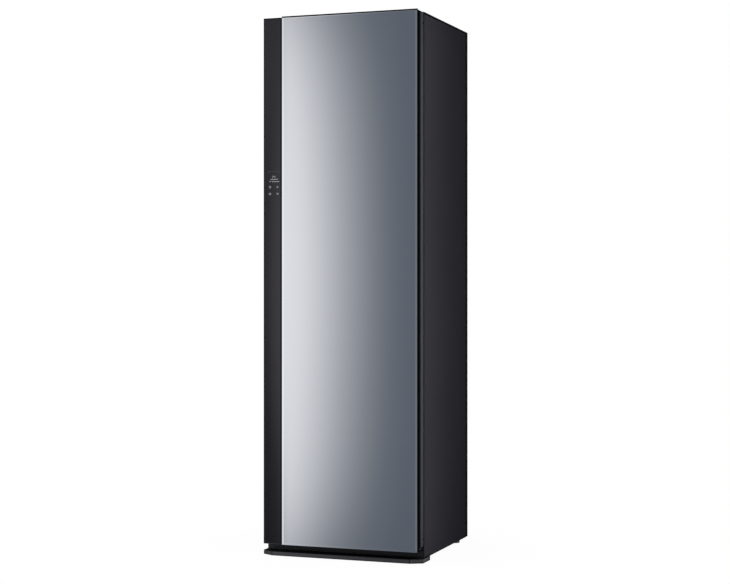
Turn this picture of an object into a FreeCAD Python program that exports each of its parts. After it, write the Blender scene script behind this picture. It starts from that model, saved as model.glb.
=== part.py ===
import FreeCAD, Part
import math
import os

# Clothes care steam cabinet: a tall steel cabinet with one mirror-faced door.
# Millimetres.  X runs to the right, Y to the back, Z up.  The origin is on the
# floor, under the middle of the overall width and depth.

# ---------------------------------------------------------------- driving sizes
# lap is how far joined shapes run into each other and how far a cut passes a face;
# same is the tolerance for telling whether two places are one.
overall_depth = 610.0
casing_width = 600.0
casing_bottom = 16.0
casing_top = 1956.0
sheet = 1.0
pan_thickness = 1.5
return_width = 14.0
running_clearance = 0.05
part_clearance = 0.3
lap = 1.0
same = 0.001

# door: the mirror slab stands in front of the door body, the strip beside it
door_bottom = 43.0
door_above_casing = 4.0
door_body_depth = 44.0
mirror_slab_depth = 26.0
mirror_thickness = 4.0
mirror_left_inset = 81.5
mirror_bevel_width = 3.0
mirror_bevel_depth = 1.0
finger_groove = 20.5
backing_inset = 2.0
control_setback = 23.0
control_thickness = 3.0
control_gap = 1.0
seal_gap = 7.0
seal_width = 14.0
seal_inset = 20.0
seal_bottom_inset = 33.0
seal_top_inset = 64.0
stile_width = 6.0
stile_fillet = 2.0
end_cap_height = 30.0
door_liner = 3.0

display_width = 62.0
display_height = 126.0
display_depth = 6.0
display_from_edge = 41.0
display_centre_z = 1355.0
display_clearance = 1.0

# hinges: a pin down from the top bracket, a pin up from the bottom bracket
hinge_x_inset = 16.0
hinge_y_from_body = 19.0
hinge_pin_radius = 4.0
hinge_lug_radius = 9.0
bush_radius = 7.0
bush_length = 18.0
top_bracket_thickness = 2.0
top_bracket_reach = 40.0
top_bracket_depth = 45.0
top_bracket_edge = 3.0
bottom_bracket_thickness = 4.0
bottom_bracket_gap = 4.0
bottom_flange_thickness = 2.5
bottom_flange_reach = 26.0
bottom_flange_edge = 2.0
bottom_screw_rise = 6.0
bottom_screw_steps = (18.0, 5.0)
top_screw_setback = 30.0
top_screw_spacing = 28.0
pin_end_gap = 2.0
bottom_notch = 14.0
hinge_recess_width = 38.0
hinge_recess_drop = 0.8
hinge_cover_wall = 1.0
hinge_cover_gap = 0.2
hinge_cover_roof = 0.8

# garment cavity
side_foam = 32.5
rear_foam = 25.5
foam_back_gap = 3.2
liner_wall = 2.5
cavity_floor = 362.0
drive_space = 98.0
sill_drop = 7.5
lamp_size = (120.0, 22.0, 4.0)
lamp_from_front = 38.0
lamp_fillet = 3.0

shelf_above_floor = 190.0
shelf_thickness = 12.0
shelf_from_front = 38.0
shelf_back_gap = 22.0
shelf_side_clearance = 3.0
shelf_slots = 9
shelf_slot_width = 24.0
shelf_rim = 40.0
shelf_corner = 8.0
ledge_width = 12.0
ledge_height = 9.0
ledge_inset = 10.0

# hanger rail and its drive
rail_from_back = 237.0
rail_end_gap = 64.0
rail_width = 16.0
rail_height = 18.0
rail_fillet = 4.0
rail_drop = 58.0
notch_width = 8.0
notch_depth = 8.0
notch_places = (-160.0, -70.0, -30.0, 30.0, 70.0, 160.0)
arm_place = 110.0
arm_width = 20.0
arm_depth = 8.0
slot_margin = 2.0
shake_throw = 12.0
rod_radius = 5.0
rod_length = 404.0
rod_spacing = 90.0
rod_above_ceiling = 29.5
rod_block = 24.0
rod_post_inset = 1.0
rod_post_width = 16.0
rod_bearing_length = 30.0
drive_plate_thickness = 2.5
drive_plate_end = 13.0
drive_plate_front = 75.0
drive_plate_rear = 45.0
bridge_width = 88.0
bridge_depth = 60.0
bridge_wall = 4.0
bridge_thickness = 2.0
bridge_hole_margin = 3.0
crank_radius = 40.0
crank_above_ceiling = 9.5
crank_pin_radius = 4.0
crank_axle_radius = 5.0
crank_axle_height = 6.0
crank_boss_wall = 4.0
crank_windows = 4
crank_window_radius = 7.0
crank_window_circle = 25.0
motor_pulley_radius = 10.0
motor_shaft_radius = 3.0
motor_distance = 155.0
pulley_thickness = 10.0
belt_thickness = 1.5
belt_width = 8.0
drive_motor_radius = 28.0
drive_motor_height = 60.0
drive_motor_fillet = 4.0
motor_shaft_reach = 10.0
shaft_end_gap = 2.0
motor_bridge_gap = 4.0
carriage_half_length = 125.0
carriage_thickness = 4.0
yoke_opening = 0.5
yoke_clearance = 0.2

# trouser press on the inside of the door
press_above_shelf = 98.0
press_height = 780.0
press_left = -168.0
press_right = 160.0
press_board_half = 150.0
press_board_thickness = 9.0
press_board_fillet = 3.0
press_gap = 8.0
press_plate_thickness = 12.0
press_plate_fillet = 4.0
press_hinge_offset = 18.0
press_pin_radius = 3.5
press_knuckle_radius = 7.0
press_bracket_half = 9.0
press_bracket_height = 10.0
press_knuckle_height = 14.0
press_ear_thickness = 8.0
press_hinge_inset = 60.0
press_post_inset = 150.0
press_post_height = 30.0
press_post_edge = 3.0

# tank bay, the two tanks and the lint filter
bay_floor = 96.0
bay_top = 280.0
bay_wall = 4.0
bay_rear_gap = 6.0
bay_side_inset = 8.0
bay_window_inner = 6.0
tank_setback = 28.0
tank_front_thickness = 4.0
tank_side_clearance = 1.0
tank_wall = 2.5
tank_depth = 120.0
tank_height = 130.0
tank_lid = 4.0
fill_hole_radius = 18.0
grip_width = 90.0
grip_height = 30.0
grip_depth = 22.0
grip_wall = 2.0
grip_above_lid = 3.0

filter_width = 176.0
filter_depth = 40.0
filter_height = 60.0
filter_from_front = 98.0
filter_flange = 10.0
filter_flange_thickness = 4.0
filter_clearance = 2.0
filter_wall = 3.0
filter_handle_width = 12.0
filter_handle_height = 14.0
filter_handle_thickness = 5.0
filter_handle_end = 4.0
filter_handle_overhang = 2.0

# air duct under the cavity floor, with the heat exchangers and the fan in it
duct_width = 260.0
duct_wall = 2.0
duct_inlet_reach = 30.0
duct_inlet_height = 69.5
duct_main_height = 169.5
duct_bay_gap = 6.0
duct_back_gap = 13.2
exchanger_width = 240.0
exchanger_depth = 80.0
exchanger_height = 150.0
exchanger_gap = 10.0
exchanger_fins = 14
fin_thickness = 2.0
exchanger_tube_radius = 5.0
exchanger_rows = 4
fan_from_duct_back = 75.0
fan_above_duct = 85.0
fan_radius = 55.0
fan_width = 60.0
fan_blades = 18
fan_blade_depth = 13.0
fan_blade_thickness = 2.0
fan_disc_thickness = 4.0
fan_hub_radius = 12.0
fan_shaft_radius = 4.0
fan_shaft_reach = 15.0
fan_motor_gap = 15.0
fan_motor_radius = 30.0
fan_motor_length = 60.0
cradle_inset = 10.0
cradle_length = 40.0
cradle_depth = 36.0
cradle_drop = 10.0
outlet_width = 140.0
outlet_depth = 70.0
outlet_rim = 6.0
outlet_slots = 9
outlet_slot_width = 8.5
outlet_slot_inset = 10.0
outlet_thickness = 3.0

# machines on the base pan
compressor_from_side = 24.0
compressor_from_back = 128.2
compressor_radius = 58.0
compressor_height = 195.0
compressor_dome = 23.0
compressor_plate_radius = 70.0
compressor_plate_thickness = 3.0
mount_height = 16.5
mount_radius = 11.0
mount_count = 3
mount_first_angle = 30.0
mount_circle = 55.0
generator_size = (100.0, 120.0, 120.0)
generator_from_side = 50.0
generator_from_back = 173.2
generator_leg = 42.5
generator_leg_inset = 18.0
generator_leg_radius = 5.0
generator_fillet = 12.0
pump_x = 80.0
pump_from_bay = 126.0
pump_radius = 28.0
pump_height = 60.0
pump_foot_height = 3.5
pump_foot_margin = 4.0
pump_inlet_length = 17.0
pump_inlet_z = 45.0
pump_outlet_height = 77.5
hose_radius = 5.0
pipe_radius = 4.0
pipe_bend = 15.0
pipe_hole_clearance = 0.5
feed_hose_z = 112.0
delivery_hose_z = 130.0
return_hose_z = 140.0
steam_hose_z = 290.0
riser_setback = 40.0
suction_pipe_z = 120.0
compressor_port_offset = 20.0
nozzle_behind_fan = 25.0
nozzle_radius = 6.0
nozzle_stub = 32.0
nozzle_size = (50.0, 24.0, 16.0)
nozzle_fillet = 3.0
jet_size = (36.0, 4.0, 6.0)
jet_rise = 5.0
box_size = (135.0, 140.0, 180.0)
box_fillet = 4.0
box_from_side = 15.0
box_from_bay = 16.0

# plinth and feet
base_plate_height = 16.0
base_plate_front_setback = 18.0
base_plate_depth = 103.0
base_plate_overhang = 8.0
corner_cap_width = 43.0
corner_cap_chamfer = 24.0
toe_kick_depth = 13.0
toe_kick_gap = 1.5
toe_kick_wall = 2.0
foot_from_side = 30.0
foot_from_front = 78.0
foot_from_back = 68.2
foot_pad_radius = 18.0
foot_pad_height = 8.0
foot_pad_chamfer = 1.5
foot_stem_radius = 5.0
foot_stem_top = 44.0
foot_boss_radius = 12.0
foot_boss_height = 18.0

# screws, cord outlet and vents
screw_head_radius = 4.0
screw_head_height = 1.8
bracket_screw_head_height = 1.0
screw_shank_radius = 1.6
screw_hole_clearance = 0.1
screw_tip_gap = 0.2
top_screw_depth = 3.0
back_screw_rows = 7
back_screw_low = 70.0
back_screw_top_inset = 46.0
gland_from_side = 65.0
gland_z = 120.0
gland_radius = 10.0
gland_bore_radius = 4.2
gland_flange_radius = 14.0
gland_flange = 1.5
gland_length = 14.0
vent_slots = 10
vent_slot_width = 70.0
vent_slot_height = 5.0
vent_pitch = 14.0
vent_low = 70.0
vent_from_side = 110.0

# ------------------------------------------------------------ places worked out
half_width = casing_width / 2
inner_half_width = half_width - sheet
front_y = -overall_depth / 2
mirror_back_y = front_y + mirror_thickness
body_front_y = front_y + mirror_slab_depth
body_back_y = body_front_y + door_body_depth
casing_front_y = body_back_y + seal_gap
casing_back_y = overall_depth / 2 - screw_head_height
frame_back_y = casing_front_y + liner_wall
control_front_y = front_y + control_setback
control_back_y = control_front_y + control_thickness
door_top = casing_top + door_above_casing
mirror_left = -half_width + mirror_left_inset
top_sheet_under = casing_top - sheet
pan_top = casing_bottom + pan_thickness
back_front = casing_back_y - sheet
rear_return_y = casing_back_y - 2 * sheet

liner_out = inner_half_width - side_foam
half_cavity = liner_out - liner_wall
foam_back = casing_back_y - foam_back_gap
liner_back = foam_back - rear_foam
cavity_back = liner_back - liner_wall
floor_under = cavity_floor - liner_wall
cavity_ceiling = casing_top - drive_space
ceiling_over = cavity_ceiling + liner_wall
front_strip_edge = half_width - return_width
sill_bottom = floor_under - sill_drop

hinge_x = half_width - hinge_x_inset
hinge_y = body_front_y + hinge_y_from_body
bracket_top = casing_top + top_bracket_thickness
notch_top = door_bottom + bottom_notch
recess_floor = casing_top - hinge_recess_drop
recess_left = half_width - hinge_recess_width
flange_front = casing_front_y - bottom_flange_thickness
toe_kick_top = door_bottom - toe_kick_gap

shelf_top = cavity_floor + shelf_above_floor
shelf_under = shelf_top - shelf_thickness
shelf_front = casing_front_y + shelf_from_front
shelf_back = cavity_back - shelf_back_gap

rail_y = cavity_back - rail_from_back
rail_top = cavity_ceiling - rail_drop
half_rail = half_cavity - rail_end_gap
rod_z = ceiling_over + rod_above_ceiling
rod_ys = (rail_y - rod_spacing / 2, rail_y + rod_spacing / 2)
block_top = rod_z + rod_block / 2
crank_bottom = ceiling_over + crank_above_ceiling
crank_top = crank_bottom + pulley_thickness
bridge_top = crank_top + motor_bridge_gap
motor_y = rail_y + motor_distance

press_bottom = shelf_top + press_above_shelf
press_top = press_bottom + press_height
press_board_front = body_back_y + press_board_thickness
press_plate_back = press_board_front + press_gap
press_plate_front = press_plate_back + press_plate_thickness
press_hinge_x = press_right + press_hinge_offset
press_hinge_y = press_plate_back + press_plate_thickness / 2

bay_window_outer = half_cavity - bay_side_inset
tank_front_y = casing_front_y + tank_setback
tank_floor = bay_floor + part_clearance
tank_body_front = tank_front_y + tank_front_thickness
tank_body_back = tank_body_front + tank_depth
tank_body_top = tank_floor + tank_height
tank_left = bay_window_inner + tank_side_clearance
tank_right = bay_window_outer - tank_side_clearance
tank_middle = (tank_left + tank_right) / 2
bay_back = tank_body_back + bay_rear_gap
bay_rear = bay_back + bay_wall
filter_y = casing_front_y + filter_from_front

duct_main_front = bay_rear + duct_bay_gap
duct_inlet_bottom = floor_under - duct_inlet_height
duct_main_bottom = floor_under - duct_main_height
duct_back = casing_back_y - duct_back_gap
evaporator_front = duct_main_front + exchanger_gap
condenser_front = evaporator_front + exchanger_depth + exchanger_gap
pipe_z = duct_main_bottom + duct_wall + exchanger_height * 0.6
fan_y = duct_back - fan_from_duct_back
fan_z = duct_main_bottom + fan_above_duct
fan_motor_x = fan_width / 2 + fan_motor_gap
nozzle_y = fan_y + nozzle_behind_fan

compressor_x = -(inner_half_width - compressor_from_side - compressor_plate_radius)
compressor_y = casing_back_y - compressor_from_back
compressor_top = pan_top + mount_height + compressor_plate_thickness + compressor_height
generator_x = half_width - generator_from_side - generator_size[0]
generator_y = casing_back_y - generator_from_back
generator_top = pan_top + generator_leg + generator_size[2]
nozzle_x = generator_x + generator_size[0] / 2
pump_y = bay_rear + pump_from_bay
pump_inlet_y = pump_y - pump_radius - pump_inlet_length
box_x = half_width - box_from_side - box_size[0]
box_y = bay_rear + box_from_bay

plate_front = front_y + base_plate_front_setback
plate_back = plate_front + base_plate_depth
plate_half_width = half_width + base_plate_overhang - corner_cap_width
foot_x = half_width - foot_from_side
foot_front_y = casing_front_y + foot_from_front
foot_rear_y = casing_back_y - foot_from_back
gland_x = half_width - gland_from_side
vent_x = -half_width + vent_from_side
display_centre_x = -half_width + display_from_edge


# --------------------------------------------------------------- shape helpers
def vec(x, y, z):
    return FreeCAD.Vector(x, y, z)


def box(x0, y0, z0, x1, y1, z1):
    """Block between two opposite corners."""
    return Part.makeBox(x1 - x0, y1 - y0, z1 - z0, vec(x0, y0, z0))


def bar_x(x0, x1, y, z, radius):
    return Part.makeCylinder(radius, x1 - x0, vec(x0, y, z), vec(1, 0, 0))


def bar_y(y0, y1, x, z, radius):
    return Part.makeCylinder(radius, y1 - y0, vec(x, y0, z), vec(0, 1, 0))


def bar_z(z0, z1, x, y, radius):
    return Part.makeCylinder(radius, z1 - z0, vec(x, y, z0), vec(0, 0, 1))


def fuse(shapes):
    """Join shapes that touch or overlap into one."""
    return shapes[0].multiFuse(shapes[1:]).removeSplitter()


def cut(shape, tools):
    """Take tools away from a shape."""
    for tool in tools:
        shape = shape.cut(tool)
    return shape


def mirrored(shape):
    """The same shape on the other side of the middle plane."""
    return shape.mirror(vec(0, 0, 0), vec(1, 0, 0))


def prism(points, z0, z1):
    """Flat outline of (x, y) points, raised from z0 to z1."""
    corners = [vec(x, y, z0) for x, y in points]
    face = Part.Face(Part.makePolygon(corners + [corners[0]]))
    return face.extrude(vec(0, 0, z1 - z0))


def upright_rectangle(x0, x1, z0, z1, y):
    """Closed outline that stands in the plane y."""
    corners = [vec(x0, y, z0), vec(x1, y, z0), vec(x1, y, z1), vec(x0, y, z1)]
    return Part.makePolygon(corners + [corners[0]])


def upright_edges(shape):
    """Straight edges that run along Z."""
    found = []
    for edge in shape.Edges:
        ends = [vertex.Point for vertex in edge.Vertexes]
        if len(ends) == 2 and abs(ends[0].x - ends[1].x) < same and abs(ends[0].y - ends[1].y) < same:
            found.append(edge)
    return found


def edges_at_y(shape, y):
    """Edges that lie in the plane y."""
    return [edge for edge in shape.Edges if abs(edge.BoundBox.YMin - y) < same
            and abs(edge.BoundBox.YMax - y) < same]


def tube(points, radius):
    """Solid round bar along straight runs joined by arcs."""
    places = [vec(*point) for point in points]
    edges = []
    start = places[0]
    for before, corner, after in zip(places, places[1:], places[2:]):
        into = (corner - before).normalize()
        away = (after - corner).normalize()
        half_turn = into.getAngle(away) / 2
        reach = pipe_bend * math.tan(half_turn)
        arc_start = corner - into * reach
        arc_end = corner + away * reach
        inward = (away - into).normalize()
        middle = corner + inward * (pipe_bend / math.cos(half_turn) - pipe_bend)
        edges.append(Part.LineSegment(start, arc_start).toShape())
        edges.append(Part.Arc(arc_start, middle, arc_end).toShape())
        start = arc_end
    edges.append(Part.LineSegment(start, places[-1]).toShape())
    first = (places[1] - places[0]).normalize()
    ring = Part.Wire([Part.makeCircle(radius, places[0], first)])
    return Part.Wire(edges).makePipeShell([ring], True, True)


nodes = {}


def node(name, *shapes):
    """Keep a sub-part: every solid of the given shapes."""
    solids = []
    for shape in shapes:
        solids.extend(shape.Solids)
    nodes[name] = solids


# ----------------------------------------------------------------- steel casing
def back_screw_places():
    """Centres, as (x, z), of the screws that hold the back panel."""
    step = (casing_top - back_screw_top_inset - back_screw_low) / (back_screw_rows - 1)
    column = half_width - return_width / 2
    places = []
    for row in range(back_screw_rows):
        z = back_screw_low + row * step
        places.append((-column, z))
        places.append((column, z))
    return places


def bottom_bracket_screw_places():
    """Centres, as (x, z), of the screws of the bottom hinge bracket."""
    z = door_bottom + bottom_screw_rise
    return [(recess_left - step, z) for step in bottom_screw_steps]


def top_bracket_screw_places():
    """Centres, as (x, y), of the screws of the top hinge bracket."""
    y = casing_front_y + top_screw_setback
    return [(hinge_x - top_screw_spacing, y), (hinge_x, y)]


def back_screw_holes(y0, y1):
    radius = screw_shank_radius + screw_hole_clearance
    return [bar_y(y0, y1, x, z, radius) for x, z in back_screw_places()]


def side_panel():
    """Right-hand side sheet with its front, rear and top returns."""
    wall = box(inner_half_width, casing_front_y, casing_bottom, half_width, casing_back_y,
               top_sheet_under)
    front = box(front_strip_edge, casing_front_y, pan_top, inner_half_width, casing_front_y + sheet,
                top_sheet_under)
    rear = box(front_strip_edge, rear_return_y, pan_top, inner_half_width, back_front,
               top_sheet_under)
    top = box(front_strip_edge, casing_front_y, top_sheet_under - sheet, inner_half_width,
              back_front, top_sheet_under)
    return cut(fuse([wall, front, rear, top]), back_screw_holes(foam_back, casing_back_y))


def build_casing():
    right = side_panel()
    node("side_panels", mirrored(right), right)

    top = box(-half_width, casing_front_y, top_sheet_under, half_width, casing_back_y, casing_top)
    hole = screw_shank_radius + screw_hole_clearance
    top_holes = []
    for x, y in top_bracket_screw_places():
        top_holes.append(bar_z(top_sheet_under - lap, casing_top + lap, x, y, hole))
    node("top_panel", cut(top, top_holes))

    back = box(-inner_half_width, back_front, pan_top, inner_half_width, casing_back_y,
               top_sheet_under)
    holes = back_screw_holes(back_front - lap, casing_back_y + lap)
    holes.append(bar_y(back_front - lap, casing_back_y + lap, gland_x, gland_z,
                       gland_radius + screw_hole_clearance))
    for row in range(vent_slots):
        z = vent_low + row * vent_pitch
        holes.append(box(vent_x - vent_slot_width / 2, back_front - lap, z,
                         vent_x + vent_slot_width / 2, casing_back_y + lap, z + vent_slot_height))
    node("back_panel", cut(back, holes))


foot_places = {
    "foot_front_left": (-foot_x, foot_front_y),
    "foot_front_right": (foot_x, foot_front_y),
    "foot_rear_left": (-foot_x, foot_rear_y),
    "foot_rear_right": (foot_x, foot_rear_y),
}


def build_base():
    boss_top = pan_top + foot_boss_height
    pieces = [box(-inner_half_width, frame_back_y, casing_bottom, inner_half_width, rear_return_y,
                  pan_top)]
    bores = []
    for x, y in foot_places.values():
        pieces.append(bar_z(casing_bottom, boss_top, x, y, foot_boss_radius))
        bores.append(bar_z(casing_bottom - lap, boss_top + lap, x, y,
                           foot_stem_radius + running_clearance))
    node("base_pan", cut(fuse(pieces), bores))

    for name, (x, y) in foot_places.items():
        pad = bar_z(0.0, foot_pad_height, x, y, foot_pad_radius)
        pad = pad.makeChamfer(foot_pad_chamfer, [pad.Edges[0]])
        stem = bar_z(foot_pad_height - lap, foot_stem_top, x, y, foot_stem_radius)
        node(name, fuse([pad, stem]))

    toe_front = casing_front_y - toe_kick_depth
    shell = box(-half_width, toe_front, base_plate_height, half_width, casing_front_y, toe_kick_top)
    hollow = box(-half_width + toe_kick_wall, toe_front + toe_kick_wall, base_plate_height - lap,
                 half_width - toe_kick_wall, casing_front_y + lap, toe_kick_top - toe_kick_wall)
    node("toe_kick", shell.cut(hollow))

    node("front_base_plate", box(-plate_half_width, plate_front, 0.0, plate_half_width, plate_back,
                                 base_plate_height))
    cap_outer = plate_half_width + corner_cap_width
    cap = prism([
        (plate_half_width, plate_front),
        (cap_outer, plate_front + corner_cap_chamfer),
        (cap_outer, plate_back),
        (plate_half_width, plate_back),
    ], 0.0, base_plate_height)
    node("base_corner_caps", mirrored(cap), cap)


# ---------------------------------------------------------------- garment cavity
def arm_slots(z0, z1):
    """Slots that the two hanger arms shake in."""
    reach = arm_width / 2 + shake_throw + slot_margin
    half_slot = arm_depth / 2 + slot_margin
    slots = []
    for middle in (-arm_place, arm_place):
        slots.append(box(middle - reach, rail_y - half_slot, z0, middle + reach, rail_y + half_slot, z1))
    return slots


def build_liner():
    """Flat liner panels, so that each one is a simple board."""
    filter_half = filter_width / 2 + filter_clearance
    filter_reach = filter_depth / 2 + filter_clearance
    outlet_half = outlet_width / 2 - outlet_rim
    outlet_reach = outlet_depth / 2 - outlet_rim

    side = box(half_cavity, frame_back_y, cavity_floor, liner_out, liner_back, cavity_ceiling)
    ledge_top = shelf_under - part_clearance
    ledge = box(half_cavity - ledge_width, shelf_front + ledge_inset, ledge_top - ledge_height,
                half_cavity, shelf_back - ledge_inset, ledge_top)
    back = box(-half_cavity, cavity_back, cavity_floor, half_cavity, liner_back, cavity_ceiling)
    strip = box(half_cavity, casing_front_y, sill_bottom, front_strip_edge, frame_back_y,
                top_sheet_under)
    header = box(-half_cavity, casing_front_y, cavity_ceiling, half_cavity, frame_back_y,
                 top_sheet_under)
    sill = box(-half_cavity, casing_front_y, sill_bottom, half_cavity, frame_back_y, cavity_floor)

    floor = box(-liner_out, frame_back_y, floor_under, liner_out, liner_back, cavity_floor)
    floor = cut(floor, [
        box(-filter_half, filter_y - filter_reach, floor_under - lap, filter_half,
            filter_y + filter_reach, cavity_floor + lap),
        box(-outlet_half, fan_y - outlet_reach, floor_under - lap, outlet_half,
            fan_y + outlet_reach, cavity_floor + lap),
        bar_z(floor_under - lap, cavity_floor + lap, nozzle_x, nozzle_y,
              nozzle_radius + screw_hole_clearance),
    ])
    ceiling = box(-liner_out, frame_back_y, cavity_ceiling, liner_out, liner_back, ceiling_over)
    ceiling = cut(ceiling, arm_slots(cavity_ceiling - lap, ceiling_over + lap))
    node("inner_liner", mirrored(side), side, mirrored(ledge), ledge, back, mirrored(strip), strip,
         header, sill, floor, ceiling)

    board = box(liner_out, frame_back_y, floor_under, inner_half_width, foam_back, ceiling_over)
    rear_board = box(-liner_out, liner_back, floor_under, liner_out, foam_back, ceiling_over)
    node("insulation_panels", mirrored(board), board, rear_board)


def build_outlet_grille():
    half_depth = outlet_depth / 2
    outlet_top = cavity_floor + outlet_thickness
    plate = box(-outlet_width / 2, fan_y - half_depth, cavity_floor, outlet_width / 2,
                fan_y + half_depth, outlet_top)
    pitch = (outlet_width - 2 * outlet_rim) / outlet_slots
    slots = []
    for column in range(outlet_slots):
        x = (column - (outlet_slots - 1) / 2) * pitch
        slots.append(box(x - outlet_slot_width / 2, fan_y - half_depth + outlet_slot_inset,
                         cavity_floor - lap, x + outlet_slot_width / 2,
                         fan_y + half_depth - outlet_slot_inset, outlet_top + lap))
    node("outlet_grille", cut(plate, slots))


def build_steam_nozzle():
    """Low block on the floor with a slot in its front and a stub for the hose below."""
    width, depth, height = nozzle_size
    front = nozzle_y - depth / 2
    block = box(nozzle_x - width / 2, front, cavity_floor, nozzle_x + width / 2, front + depth,
                cavity_floor + height)
    block = block.makeFillet(nozzle_fillet, upright_edges(block))
    stub = bar_z(cavity_floor - nozzle_stub, cavity_floor + lap, nozzle_x, nozzle_y, nozzle_radius)
    jet_width, jet_depth, jet_height = jet_size
    jet = box(nozzle_x - jet_width / 2, front - lap, cavity_floor + jet_rise, nozzle_x + jet_width / 2,
              front + jet_depth, cavity_floor + jet_rise + jet_height)
    node("steam_nozzle", fuse([block, stub]).cut(jet))


def build_cabin_lamp():
    width, depth, height = lamp_size
    lamp_y = casing_front_y + lamp_from_front
    lamp = box(-width / 2, lamp_y, cavity_ceiling - height, width / 2, lamp_y + depth, cavity_ceiling)
    node("cabin_lamp", lamp.makeFillet(lamp_fillet, upright_edges(lamp)))


def build_shelf():
    half_shelf = half_cavity - shelf_side_clearance
    tray = box(-half_shelf, shelf_front, shelf_under, half_shelf, shelf_back, shelf_top)
    tray = tray.makeFillet(shelf_corner, upright_edges(tray))
    pitch = 2 * half_shelf / (shelf_slots + 1)
    slots = []
    for column in range(1, shelf_slots + 1):
        x = -half_shelf + column * pitch
        slots.append(box(x - shelf_slot_width / 2, shelf_front + shelf_rim, shelf_under - lap,
                         x + shelf_slot_width / 2, shelf_back - shelf_rim, shelf_top + lap))
    node("shelf", cut(tray, slots))


# ------------------------------------------------------------------ hanger drive
def belt_outline(crank_side, motor_side, z):
    """Flat face inside a belt line that touches circles of these two radii."""
    lean = math.acos((crank_side - motor_side) / motor_distance)
    right = vec(math.sin(lean), math.cos(lean), 0.0)
    left = vec(-math.sin(lean), math.cos(lean), 0.0)
    crank = vec(0.0, rail_y, z)
    motor = vec(0.0, motor_y, z)
    far_end = vec(0.0, motor_side, 0.0)
    near_end = vec(0.0, crank_side, 0.0)
    edges = [
        Part.LineSegment(crank + right * crank_side, motor + right * motor_side).toShape(),
        Part.Arc(motor + right * motor_side, motor + far_end, motor + left * motor_side).toShape(),
        Part.LineSegment(motor + left * motor_side, crank + left * crank_side).toShape(),
        Part.Arc(crank + left * crank_side, crank - near_end, crank + right * crank_side).toShape(),
    ]
    return Part.Face(Part.Wire(edges))


def build_drive_frame():
    """Plate on the ceiling with the rod posts, the motor bridge and the crank axle."""
    rod_half = rod_length / 2
    plate_end = rod_half + drive_plate_end
    plate_top = ceiling_over + drive_plate_thickness
    plate = box(-plate_end, rail_y - drive_plate_front, ceiling_over, plate_end,
                motor_y + drive_plate_rear, plate_top)
    pieces = [cut(plate, arm_slots(ceiling_over - lap, plate_top + lap))]
    post_x = rod_half - rod_post_inset - rod_post_width / 2
    leg_x = bridge_width / 2 - bridge_wall
    bridge_front = motor_y - bridge_depth / 2
    bridge_back = motor_y + bridge_depth / 2
    for y in rod_ys:
        post = box(post_x, y - rod_block / 2, ceiling_over + lap, post_x + rod_post_width,
                   y + rod_block / 2, block_top)
        pieces.extend([post, mirrored(post)])
    leg = box(leg_x, bridge_front, ceiling_over + lap, leg_x + bridge_wall, bridge_back, bridge_top)
    pieces.extend([leg, mirrored(leg)])
    pieces.append(box(-bridge_width / 2, bridge_front, bridge_top - bridge_thickness,
                      bridge_width / 2, bridge_back, bridge_top))
    boss_top = crank_bottom - part_clearance
    pieces.append(bar_z(ceiling_over + lap, boss_top, 0.0, rail_y, crank_axle_radius + crank_boss_wall))
    pieces.append(bar_z(boss_top - lap, crank_bottom + crank_axle_height, 0.0, rail_y,
                        crank_axle_radius))
    bores = [bar_x(-plate_end, plate_end, y, rod_z, rod_radius + running_clearance) for y in rod_ys]
    bores.append(bar_z(bridge_top - bridge_thickness - lap, bridge_top + lap, 0.0, motor_y,
                       motor_shaft_radius + bridge_hole_margin))
    node("drive_frame", cut(fuse(pieces), bores))
    node("guide_rods", *[bar_x(-rod_half, rod_half, y, rod_z, rod_radius) for y in rod_ys])


def build_crank_drive():
    motor = bar_z(bridge_top, bridge_top + drive_motor_height, 0.0, motor_y, drive_motor_radius)
    motor = motor.makeFillet(drive_motor_fillet, [motor.Edges[0]])
    shaft_top = bridge_top + motor_shaft_reach
    node("hanger_motor", motor.cut(bar_z(bridge_top - lap, shaft_top + shaft_end_gap, 0.0, motor_y,
                                         motor_shaft_radius + running_clearance)))
    pulley = bar_z(crank_bottom, crank_top, 0.0, motor_y, motor_pulley_radius)
    shaft = bar_z(crank_top - lap, shaft_top, 0.0, motor_y, motor_shaft_radius)
    node("motor_pulley", fuse([pulley, shaft]))

    wheel = bar_z(crank_bottom, crank_top, 0.0, rail_y, crank_radius)
    pin = bar_z(crank_top - lap, block_top - yoke_opening, 0.0, rail_y + shake_throw, crank_pin_radius)
    cuts = [bar_z(crank_bottom - lap, crank_bottom + crank_axle_height + lap, 0.0, rail_y,
                  crank_axle_radius + running_clearance)]
    for window in range(crank_windows):
        angle = 2 * math.pi * (window + 0.5) / crank_windows
        cuts.append(bar_z(crank_bottom - lap, crank_top + lap, crank_window_circle * math.cos(angle),
                          rail_y + crank_window_circle * math.sin(angle), crank_window_radius))
    node("crank_pulley", cut(fuse([wheel, pin]), cuts))

    belt_bottom = crank_bottom + (pulley_thickness - belt_width) / 2
    inner = belt_outline(crank_radius + part_clearance, motor_pulley_radius + part_clearance,
                         belt_bottom)
    outer = belt_outline(crank_radius + part_clearance + belt_thickness,
                         motor_pulley_radius + part_clearance + belt_thickness, belt_bottom)
    node("drive_belt", outer.cut(inner).extrude(vec(0, 0, belt_width)))


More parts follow.
